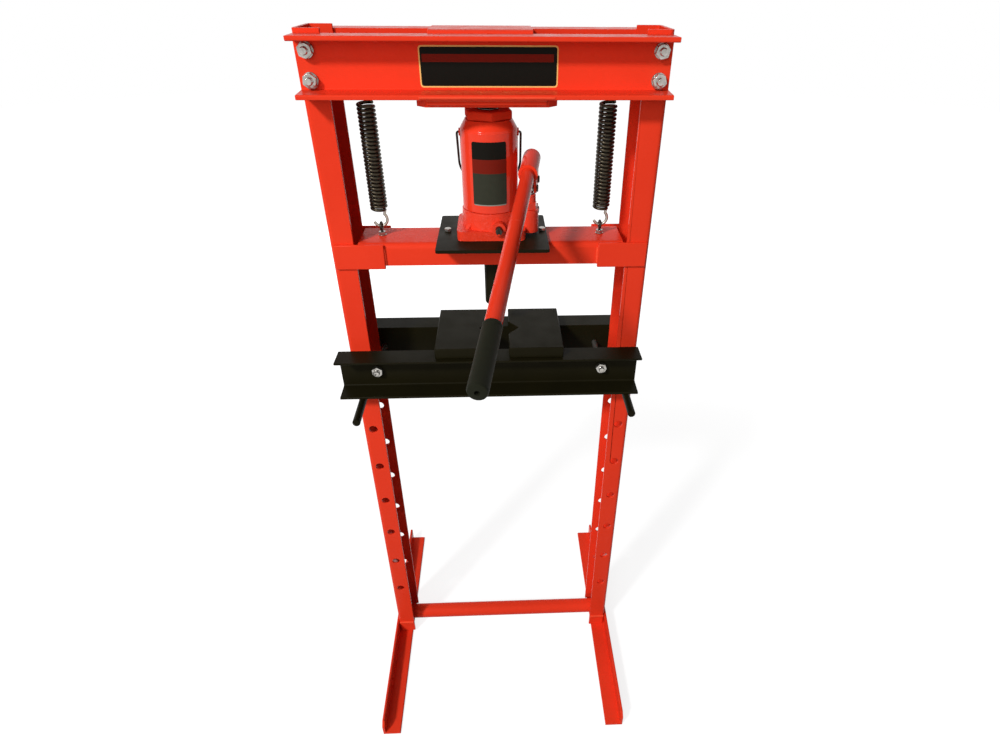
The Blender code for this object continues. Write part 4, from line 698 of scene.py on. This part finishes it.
class PRESS_OT_crosshead(bpy.types.Operator):
    """Crosshead, its guide straps and the ram"""
    bl_idname = "press.crosshead"
    bl_label = "Crosshead"

    def execute(self, context):
        dressed("crosshead_body", enamel(), sizes().sheet_edge)
        for face_name, face in FACES:
            for side_name, side in SIDES:
                corner = "%s_%s" % (face_name, side_name)
                node = "guide_strap_" + corner
                dressed(node, enamel(), FINE_EDGE)
                low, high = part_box(node)
                x = low.x if side > 0.0 else high.x
                y = MIDDLE_Y + face * 0.0421
                bead("strap_weld_" + corner, (x, y, low.z + 0.006), (x, y, high.z - 0.009), STRAP_BEAD,
                     "crosshead")
        self.ram()
        return {"FINISHED"}

    def ram(self):
        low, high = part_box("press_ram")
        radius, nose, collar = 0.0135, 0.005, 0.019
        neck = high.z - 0.007
        profile = [(0.0, low.z)]
        for step in range(7):
            angle = step * math.pi / 12
            profile.append((radius - nose + nose * math.sin(angle), low.z + nose - nose * math.cos(angle)))
        profile += [(radius, neck), (collar - 0.0006, neck), (collar, neck + 0.0006), (collar, high.z),
                    (0.0, high.z)]
        turned_for("press_ram", profile, satin_black())


class PRESS_OT_springs(bpy.types.Operator):
    """Return springs, the rods they hang from and the eye bolts below"""
    bl_idname = "press.springs"
    bl_label = "Return springs"

    def execute(self, context):
        anchor_low, anchor_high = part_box("left_spring_anchor")
        anchor_z = (anchor_low.z + anchor_high.z) / 2
        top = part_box("top_beam_front")[0].z - 0.0150
        bottom = CROSSHEAD_TOP + 0.0405
        pattern = wire("spring_pattern", self.route(anchor_z, top, bottom), SPRING_WIRE, 3)
        finish(pattern, spring_steel(), 60.0, False)
        # The lower hook, below the last turn, is drawn in pale grey wire.
        pattern.data.materials.append(pale_hook_steel())
        for face in pattern.data.polygons:
            if face.center.z < bottom - SPRING_WIRE - 0.0002:
                face.material_index = 1
        for name, side in SIDES:
            place = Vector((side * SPRING_X, MIDDLE_Y, 0.0))
            spring = twin(pattern, name + "_return_spring_wound", Matrix.Translation(place))
            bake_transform(spring)
            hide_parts(name + "_return_spring")
            rod = eased(ANCHOR_RADIUS, anchor_low.y, anchor_high.y, SOFT_EDGE)
            turned_for(name + "_spring_anchor", rod, enamel(), (place.x, 0.0, anchor_z), REARWARD, 40)
        drop(pattern)
        self.eye_bolts()
        return {"FINISHED"}

    def route(self, anchor_z, top, bottom):
        """The wire's middle line: the upper hook over its rod, the coil, and the lower hook in its eye."""
        upper = anchor_z + ANCHOR_RADIUS + HAIR + SPRING_WIRE - HOOK_RADIUS
        eye_top = CROSSHEAD_TOP + EYE_RISE + EYE_RADIUS - EYE_WIRE
        lower = eye_top - HAIR - SPRING_WIRE + HOOK_RADIUS
        mouth = math.radians(248.0)
        sweep = math.radians(206.0)
        turns = 28
        steps = 24
        hook_steps = 36
        points = []
        for step in range(hook_steps + 1):
            angle = mouth - sweep * step / hook_steps
            points.append((HOOK_RADIUS * math.sin(angle), 0.0, upper - HOOK_RADIUS * math.cos(angle)))
        count = turns * steps
        for step in range(count + 1):
            share = step / count
            angle = math.tau * turns * share
            ease = min(1.0, step / (steps / 2), (count - step) / (steps / 2))
            reach = COIL_RADIUS * (0.8 + 0.2 * ease)
            points.append((reach * math.cos(angle), reach * math.sin(angle), top - (top - bottom) * share))
        for step in range(hook_steps + 1):
            angle = mouth - sweep * (1.0 - step / hook_steps)
            points.append((HOOK_RADIUS * math.sin(angle), 0.0, lower + HOOK_RADIUS * math.cos(angle)))
        return points

    def eye_bolts(self):
        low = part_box("left_eye_bolt")[0]
        middle = CROSSHEAD_TOP + EYE_RISE
        seat = CROSSHEAD_TOP + HAIR
        washer, thread, pitch = 0.0012, 0.0023, 0.0012
        clear()
        bpy.ops.mesh.primitive_torus_add(
            major_radius=EYE_RADIUS, minor_radius=EYE_WIRE, major_segments=56, minor_segments=20,
            location=(0.0, 0.0, middle), rotation=(0.0, math.radians(90.0), 0.0))
        loop = named(bpy.context.object, "eye_loop")
        settle()
        shank = threaded(thread, low.z, middle - EYE_RADIUS - 0.001, pitch)
        shank = turned("eye_shank", shank, steps=40)
        dark = joined("eye_dark", [loop, shank])
        finish(dark, oiled_steel(), weighted=False)
        plate = turned("eye_washer", ring(0.0024, 0.00625, seat, seat + washer, FINE_EASE))
        nut = hexagon("eye_nut", SMALL_FLATS, SMALL_NUT_HEIGHT)
        lock = twin(nut, "eye_lock_nut", Matrix.Translation(UP * (UNDER_CROSSHEAD_TOP - SMALL_NUT_HEIGHT)))
        upper = twin(nut, "eye_upper_nut", Matrix.Translation(UP * (seat + washer)))
        drop(nut)
        bright = joined("eye_bright", [plate, lock, upper])
        finish(bright, zinc_plate())
        pattern = joined("eye_pattern", [dark, bright])
        for name, side in SIDES:
            place = Matrix.Translation((side * SPRING_X, MIDDLE_Y, 0.0))
            piece = twin(pattern, name + "_eye_bolt_finished", place)
            stands_for(piece, name + "_eye_bolt")
        drop(pattern)


class PRESS_OT_jack(bpy.types.Operator):
    """Jack seat, base casting, cylinder, cap, piston, saddle, filler plug, valve and bail"""
    bl_idname = "press.jack"
    bl_label = "Bottle jack"

    def execute(self, context):
        axis = Vector((0.0, MIDDLE_Y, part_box("jack_base")[0].z))
        dressed("jack_base_plate", satin_black(), sizes().plate_edge)
        dressed("jack_base", cast_enamel(), sizes().cast_edge)
        self.seat_bolts()
        self.cylinder(axis)
        dressed("jack_cap_nut", enamel("greasy"), SOFT_EDGE)
        low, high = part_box("jack_piston")
        radius, ease = 0.0150, 0.0008
        # The piston's chrome is coloured darker than it is: painted shade for the dim gap under the thrust
        # plate.
        turned_for("jack_piston", eased(radius, low.z, high.z, ease), ground_steel_painted_shade())
        self.saddle()
        self.filler_plug()
        dressed("release_valve", oiled_steel(), FINE_EDGE)
        self.bail(axis)
        return {"FINISHED"}

    def seat_bolts(self):
        pattern = hexagon("seat_bolt_pattern", SMALL_FLATS, SMALL_NUT_HEIGHT)
        thread, pitch = 0.0030, 0.0010
        for name, side in SIDES:
            node = "jack_bolt_" + name
            low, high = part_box(node)
            place = Vector(((low.x + high.x) / 2, (low.y + high.y) / 2, 0.0))
            head_z = high.z - SMALL_NUT_HEIGHT
            nut_z = UNDER_CROSSHEAD_TOP - SMALL_NUT_HEIGHT
            head = twin(pattern, node + "_head", Matrix.Translation(place + UP * head_z))
            nut = twin(pattern, node + "_nut", Matrix.Translation(place + UP * nut_z))
            shank = turned(node + "_shank", threaded(thread, low.z, high.z - 0.003, pitch), place, UP, 40)
            joined_for(node, [head, nut, shank], zinc_plate())
        drop(pattern)

    def cylinder(self, axis):
        bore, foot, top = 0.0156, 0.0393, 0.1650
        profile = [(bore, foot), (0.0416, foot), (CYLINDER_RADIUS, 0.0402), (CYLINDER_RADIUS, 0.1505),
                   (0.0422, 0.1515), (0.0418, 0.1519), (0.0418, 0.1529), (0.0414, 0.1536), (0.0357, 0.1632),
                   (0.0350, 0.1640), (0.0346, top), (bore, top), (bore, foot)]
        pieces = [turned("jack_barrel", profile, axis, UP, 96)]
        ear_x, ear_radius, ear_length, dimple = 0.0382, 0.0055, 0.0057, 0.0009
        profile = [(0.0, 0.0), (ear_radius, 0.0), (ear_radius, 0.0052), (0.0050, ear_length),
                   (0.0024, ear_length), (0.0021, 0.0054), (0.0021, dimple), (0.0, dimple)]
        for name, side in SIDES:
            place = axis + Vector((side * ear_x, 0.0, BAIL_RISE))
            pieces.append(turned(name + "_ear", profile, place, (side, 0.0, 0.0), 40))
        joined_for("jack_cylinder", pieces, enamel("jack"))

    def saddle(self):
        low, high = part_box("jack_saddle")
        radius, groove = 0.0180, 0.0174
        profile = [(0.0, low.z), (0.0165, low.z), (radius, low.z + 0.0015), (radius, low.z + 0.0040),
                   (groove, low.z + 0.0046), (groove, low.z + 0.0056), (radius, low.z + 0.0062),
                   (radius, high.z - 0.0012), (0.0168, high.z), (0.0, high.z)]
        turned_for("jack_saddle", profile, oiled_steel())

    def filler_plug(self):
        low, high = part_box("filler_plug")
        depth = high.y - low.y
        neck, brim, dimple = 0.0050, 0.0070, depth - 0.0006
        profile = [(0.0, 0.0), (0.0048, 0.0), (neck, 0.0003), (neck, depth - 0.0028),
                   (brim, depth - 0.0026), (brim, depth - 0.0010), (0.0060, depth - 0.0001),
                   (0.0022, depth), (0.0018, dimple), (0.0, dimple)]
        turned_for("filler_plug", profile, rubber(), (0.0, low.y, (low.z + high.z) / 2), REARWARD, 48)

    def bail(self, axis):
        # Two straight legs from the ears and a rounded bow, hanging down and leaning out to the rear.
        side_x, radius = 0.0468, 0.00175
        straight, bow, bow_steps = 0.052, 0.048, 40
        half = [(0.0392, 0.0), (side_x - radius, 0.0), (side_x - 0.0005, 0.0012), (side_x, 2 * radius)]
        run = [(-x, s) for x, s in half]
        for step in range(bow_steps + 1):
            angle = math.pi * step / bow_steps
            run.append((-side_x * math.cos(angle), straight + bow * math.sin(angle)))
        run += reversed(half)
        lean = math.radians(28.0)
        pivot = axis + UP * BAIL_RISE
        route = [pivot + Vector((x, s * math.sin(lean), -s * math.cos(lean))) for x, s in run]
        piece = wire("carry_bail_finished", route, radius, 4)
        finish(piece, oiled_steel(), weighted=False)
        stands_for(piece, "carry_bail")


class PRESS_OT_pump(bpy.types.Operator):
    """Pump barrel, plunger, link, pins, rocker socket, handle and grip"""
    bl_idname = "press.pump"
    bl_label = "Pump and handle"

    def execute(self, context):
        self.barrel()
        # The plunger shares the piston's darkened chrome, which carries painted shade.
        dressed("pump_plunger", ground_steel_painted_shade(), FINE_EDGE)
        dressed("pump_link", enamel("jack"), LINK_EDGE)
        dressed("handle_socket", enamel("tube"), SOFT_EDGE)
        shank, head = 0.0035, 0.00525
        for node in ("fulcrum_pin", "plunger_pin", "link_foot_pin"):
            start, end = rod_ends(node, PIN_LINE)
            length = (end - start).length
            profile = [(0.0, 0.0), (0.0029, 0.0), (shank, 0.0006), (shank, length - 0.002),
                       (head, length - 0.002), (head, length - 0.0006), (0.0045, length), (0.0, length)]
            turned_for(node, profile, oiled_steel(), start, end - start, 40)
        self.handle()
        return {"FINISHED"}

    def barrel(self):
        low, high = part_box("pump_barrel")
        middle = (low + high) / 2
        middle.z = 0.0
        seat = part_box("jack_base")[1].z
        bore, radius, groove, foot = 0.0062, 0.0095, 0.0091, high.z - 0.03
        profile = [(bore, foot), (0.0092, foot), (radius, high.z - 0.0297), (radius, high.z - 0.0040),
                   (groove, high.z - 0.0034), (groove, high.z - 0.0026), (radius, high.z - 0.0020),
                   (radius, high.z - 0.0006), (0.0089, high.z), (bore, high.z), (bore, foot)]
        tube = turned("barrel_tube", profile, middle)
        across_flats, height = 0.0200, 0.0107
        block = hexagon("barrel_hex", across_flats, height, False)
        flats = twin(block, "barrel_flats", Matrix.Translation(middle + UP * (seat + HAIR))
                     @ Matrix.Rotation(PUMP_YAW, 4, "Z"))
        drop(block)
        joined_for("pump_barrel", [tube, flats], enamel("jack"))

    def handle(self):
        start, end = rod_ends("pump_handle", HANDLE_LINE)
        bore, radius = 0.0084, 0.0100
        turned_for("pump_handle", ring(bore, radius, 0.0, (end - start).length, 0.0005), enamel("tube"),
                   start, end - start, 64)
        start, end = rod_ends("handle_grip", HANDLE_LINE)
        length = (end - start).length
        bore, radius, groove, hole = 0.0103, 0.0111, 0.0107, 0.0030
        profile = [(bore, 0.0), (0.0108, 0.0), (radius, 0.0004), (radius, 0.0040), (groove, 0.0046),
                   (groove, 0.0058), (radius, 0.0064), (radius, length - 0.0035),
                   (radius - 0.0010, length - 0.0010), (radius - 0.0035, length), (hole, length),
                   (hole, length - 0.0060), (bore, length - 0.0060), (bore, 0.0)]
        turned_for("handle_grip", profile, rubber(), start, end - start, 64)


class PRESS_OT_bed(bpy.types.Operator):
    """Bed channels, their ties, the arbor plates and the bed pins"""
    bl_idname = "press.bed"
    bl_label = "Bed"

    def execute(self, context):
        for node in ("bed_channel_front", "bed_channel_rear"):
            dressed(node, satin_black(), sizes().sheet_edge)
        for node in ("arbor_plate_left", "arbor_plate_right"):
            dressed(node, satin_black(), sizes().plate_edge)
        nut = hexagon("tie_nut_pattern", BOLT_FLATS, NUT_HEIGHT)
        pin_radius, pin_ease = 0.0065, 0.0015
        for name, side in SIDES:
            node = "bed_tie_" + name
            low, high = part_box(node)
            x = (low.x + high.x) / 2
            z = (low.z + high.z) / 2
            rod = eased(BOLT_RADIUS, low.y + 0.012, high.y - 0.003, FINE_EDGE)
            tail = threaded(BOLT_RADIUS, 0.0, 0.016, sizes().thread_pitch)
            front = Matrix.Translation((x, low.y + 0.005 + NUT_HEIGHT, z))
            rear = Matrix.Translation((x, high.y - NUT_HEIGHT, z))
            joined_for(node, [
                turned(node + "_rod", rod, (x, 0.0, z), REARWARD, 48),
                turned(node + "_tail", tail, (x, low.y + 0.016, z), FORWARD, 48),
                twin(nut, node + "_nut", front @ about("X", 90.0) @ about("Z", 9.0 + 11.0 * side)),
                twin(nut, node + "_head", rear @ about("X", -90.0)),
            ], zinc_plate())
            node = "bed_pin_" + name
            low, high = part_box(node)
            turned_for(node, eased(pin_radius, low.y, high.y, pin_ease), satin_black(),
                       ((low.x + high.x) / 2, 0.0, (low.z + high.z) / 2), REARWARD, 48)
        drop(nut)
        return {"FINISHED"}


class PRESS_OT_labels(bpy.types.Operator):
    """Plain labels with no words on the beam and the jack"""
    bl_idname = "press.labels"
    bl_label = "Labels"

    def execute(self, context):
        self.beam_label()
        self.jack_label()
        return {"FINISHED"}

    def sheet(self, name, width, height, corner):
        clear()
        bpy.ops.mesh.primitive_plane_add(size=1.0)
        piece = named(bpy.context.object, name)
        edit(piece)
        bpy.ops.transform.resize(value=(width, height, 1.0))
        bpy.ops.mesh.bevel(offset=corner, offset_type="OFFSET", segments=5, affect="VERTICES")
        bpy.ops.object.mode_set(mode="OBJECT")
        return piece

    def beam_label(self):
        # A cream border with a black field on it, which carries one dark red band.
        left, right, low, high = -0.088, 0.095, 1.183, 1.232
        front = MIDDLE_Y - 0.0468
        line = 0.0018
        skin = sizes().label_skin
        border = printed_label("beam_label_border_vinyl", [], colours().label_line)
        band = ((left + 0.004, right - 0.006), (1.2128, 1.2220), colours().label_band)
        field = printed_label("beam_label_vinyl", [band], colours().label_ground)
        place = Matrix.Translation(((left + right) / 2, front, (low + high) / 2)) @ about("X", 90.0)
        for name, inset, corner, depth, vinyl in (("beam_label_border", 0.0, 0.0040, skin, border),
                                                  ("beam_label_field", line, 0.0030, skin * 1.3, field)):
            piece = self.sheet(name, right - left - inset * 2, high - low - inset * 2, corner)
            apply_modifier(piece, "SOLIDIFY", thickness=depth, offset=1.0)
            placed(piece, place)
            finish(piece, vinyl, weighted=False)
            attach(piece, "press_frame")

    def jack_label(self):
        half, low, high = 0.026, 1.024, 1.113
        strips = 12
        gap = 0.00005
        piece = self.sheet("jack_label", half * 2, high - low, 0.003)
        edit(piece)
        for step in range(1 - strips, strips):
            bpy.ops.mesh.select_all(action="SELECT")
            bpy.ops.mesh.bisect(plane_co=(half * step / strips, 0.0, 0.0), plane_no=(1.0, 0.0, 0.0))
        bpy.ops.object.mode_set(mode="OBJECT")
        apply_modifier(piece, "SOLIDIFY", thickness=sizes().label_skin, offset=1.0)
        # The flat sheet is wrapped round the cylinder: its width becomes arc and its skin radius.
        for vertex in piece.data.vertices:
            x, up, skin = vertex.co
            angle = x / CYLINDER_RADIUS
            reach = CYLINDER_RADIUS + gap + skin
            vertex.co = (reach * math.sin(angle), MIDDLE_Y - reach * math.cos(angle), (low + high) / 2 + up)
        across = (-0.05, 0.05)
        band_low, band_high = high - 0.0430, high - 0.0235
        material = printed_label("jack_label_vinyl", [
            (across, (band_high, high), colours().label_ground),
            (across, (band_low, band_high), colours().label_band),
            (across, (low, low + 0.0016), linear("#8A8A80")),
        ], linear("#35362C"))
        finish(piece, material, weighted=False)
        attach(piece, "crosshead")


class PRESS_OT_stage(bpy.types.Operator):
    """Pale floor, white surroundings, three lamps and the camera"""
    bl_idname = "press.stage"
    bl_label = "Stage, light and camera"

    def execute(self, context):
        self.floor()
        self.sky(context)
        # Each lamp's place, the line it shines along, its power in watts and its width
        self.lamp("key_light", (-2.59, -3.24, 3.88), (0.80, 1.00, -0.86), 207.0, 0.61)
        self.lamp("fill_light", (-0.9, -2.6, 1.7), (0.9, 2.6, -0.7), 31.0, 1.8)
        self.lamp("back_light", (-0.9, 3.1, 1.1), (0.9, -3.1, -0.4), 46.0, 1.8)
        self.camera(context)
        return {"FINISHED"}

    def lamp(self, name, place, line, power, size):
        clear()
        bpy.ops.object.light_add(type="AREA", location=place)
        lamp = bpy.context.object
        lamp.name = name
        lamp.rotation_mode = "QUATERNION"
        lamp.rotation_quaternion = Vector(line).to_track_quat("-Z", "Y")
        lamp.visible_glossy = name == "key_light"
        lamp.data.energy = power
        lamp.data.shape = "DISK"
        lamp.data.size = size

    def floor(self):
        clear()
        bpy.ops.mesh.primitive_circle_add(vertices=96, radius=9.0, fill_type="NGON",
                                          location=(0.0, 0.0, -0.0002))
        floor = named(bpy.context.object, "floor")
        settle()
        material = bpy.data.materials.new("pale_studio_floor")
        tree = empty_tree(material)
        paper = add_node(tree, "ShaderNodeBsdfDiffuse", {"Color": linear("#8E8E8E")})
        # It shows as white far off and a little greyer round the press.
        place = add_node(tree, "ShaderNodeTexCoord").outputs["Object"]
        reach = add_node(tree, "ShaderNodeVectorMath", {0: place}, operation="LENGTH")
        spread = add_node(tree, "ShaderNodeMapRange", {
            "Value": reach.outputs["Value"], "From Min": 0.5, "From Max": 2.4, "To Min": 0.84,
            "To Max": 1.0}, interpolation_type="SMOOTHSTEP")
        lift = add_node(tree, "ShaderNodeMath", {0: white_rays(tree), 1: spread.outputs[0]},
                        operation="MULTIPLY")
        glow = add_node(tree, "ShaderNodeEmission", {"Color": WHITE, "Strength": lift.outputs[0]})
        both = add_node(tree, "ShaderNodeAddShader", {0: paper.outputs[0], 1: glow.outputs[0]})
        add_node(tree, "ShaderNodeOutputMaterial", {"Surface": both.outputs[0]})
        floor.data.materials.append(material)

    def sky(self, context):
        world = bpy.data.worlds.new("studio")
        context.scene.world = world
        tree = empty_tree(world)
        # Rays that show it find white, and rays that only light the press find a dim surround.
        level = add_node(tree, "ShaderNodeMapRange", {"Value": white_rays(tree), "To Min": 0.12,
                                                      "To Max": 1.0})
        sky = add_node(tree, "ShaderNodeBackground", {"Color": WHITE, "Strength": level.outputs[0]})
        add_node(tree, "ShaderNodeOutputWorld", {"Surface": sky.outputs[0]})

    def camera(self, context):
        # Standing a little above the top beam, close in front, looking down.
        pitch, yaw, roll = 0.6208077, -0.0500828, 0.0087644
        place = (0.01385, -0.87155, 1.31228)
        ahead = Vector((-math.sin(yaw), math.cos(yaw), 0.0))
        across = Vector((math.cos(yaw), math.sin(yaw), 0.0))
        look = ahead * math.cos(pitch) - UP * math.sin(pitch)
        rise = UP * math.cos(pitch) + ahead * math.sin(pitch)
        right = across * math.cos(roll) + rise * math.sin(roll)
        rise = rise * math.cos(roll) - across * math.sin(roll)
        clear()
        bpy.ops.object.camera_add()
        camera = bpy.context.object
        camera.name = "press_camera"
        turn = Matrix((right, rise, -look)).transposed().to_4x4()
        camera.matrix_world = Matrix.Translation(place) @ turn
        camera.data.sensor_width = 36.0
        camera.data.lens = 22.5075
        camera.data.shift_x = -0.02948
        camera.data.shift_y = 0.04146
        camera.data.clip_start = 0.02
        camera.data.clip_end = 60.0
        context.scene.camera = camera
        context.scene.view_settings.view_transform = "Standard"


class PRESS_PT_panel(bpy.types.Panel):
    """Lists the press's pieces in the 3D view's sidebar"""
    bl_idname = "PRESS_PT_panel"
    bl_label = "Hydraulic press"
    bl_space_type = "VIEW_3D"
    bl_region_type = "UI"
    bl_category = "Press"

    def draw(self, context):
        for operator in OPERATORS:
            self.layout.operator(operator.bl_idname)
        for group in (sizes(), colours()):
            box = self.layout.box()
            for key in group.__annotations__:
                box.prop(group, key)


OPERATORS = (PRESS_OT_frame_steel, PRESS_OT_frame_bolts, PRESS_OT_crosshead, PRESS_OT_springs,
             PRESS_OT_jack, PRESS_OT_pump, PRESS_OT_bed, PRESS_OT_labels, PRESS_OT_stage)
CLASSES = (PressSizes, PressColours) + OPERATORS + (PRESS_PT_panel,)


def register():
    for each in CLASSES:
        bpy.utils.register_class(each)
    bpy.types.Scene.press_sizes = bpy.props.PointerProperty(type=PressSizes)
    bpy.types.Scene.press_colours = bpy.props.PointerProperty(type=PressColours)


def unregister():
    del bpy.types.Scene.press_colours
    del bpy.types.Scene.press_sizes
    for each in reversed(CLASSES):
        bpy.utils.unregister_class(each)


def main():
    register()
    bpy.ops.press.frame_steel()
    bpy.ops.press.frame_bolts()
    bpy.ops.press.crosshead()
    bpy.ops.press.springs()
    bpy.ops.press.jack()
    bpy.ops.press.pump()
    bpy.ops.press.bed()
    bpy.ops.press.labels()
    bpy.ops.press.stage()


if __name__ == "__main__":
    main()
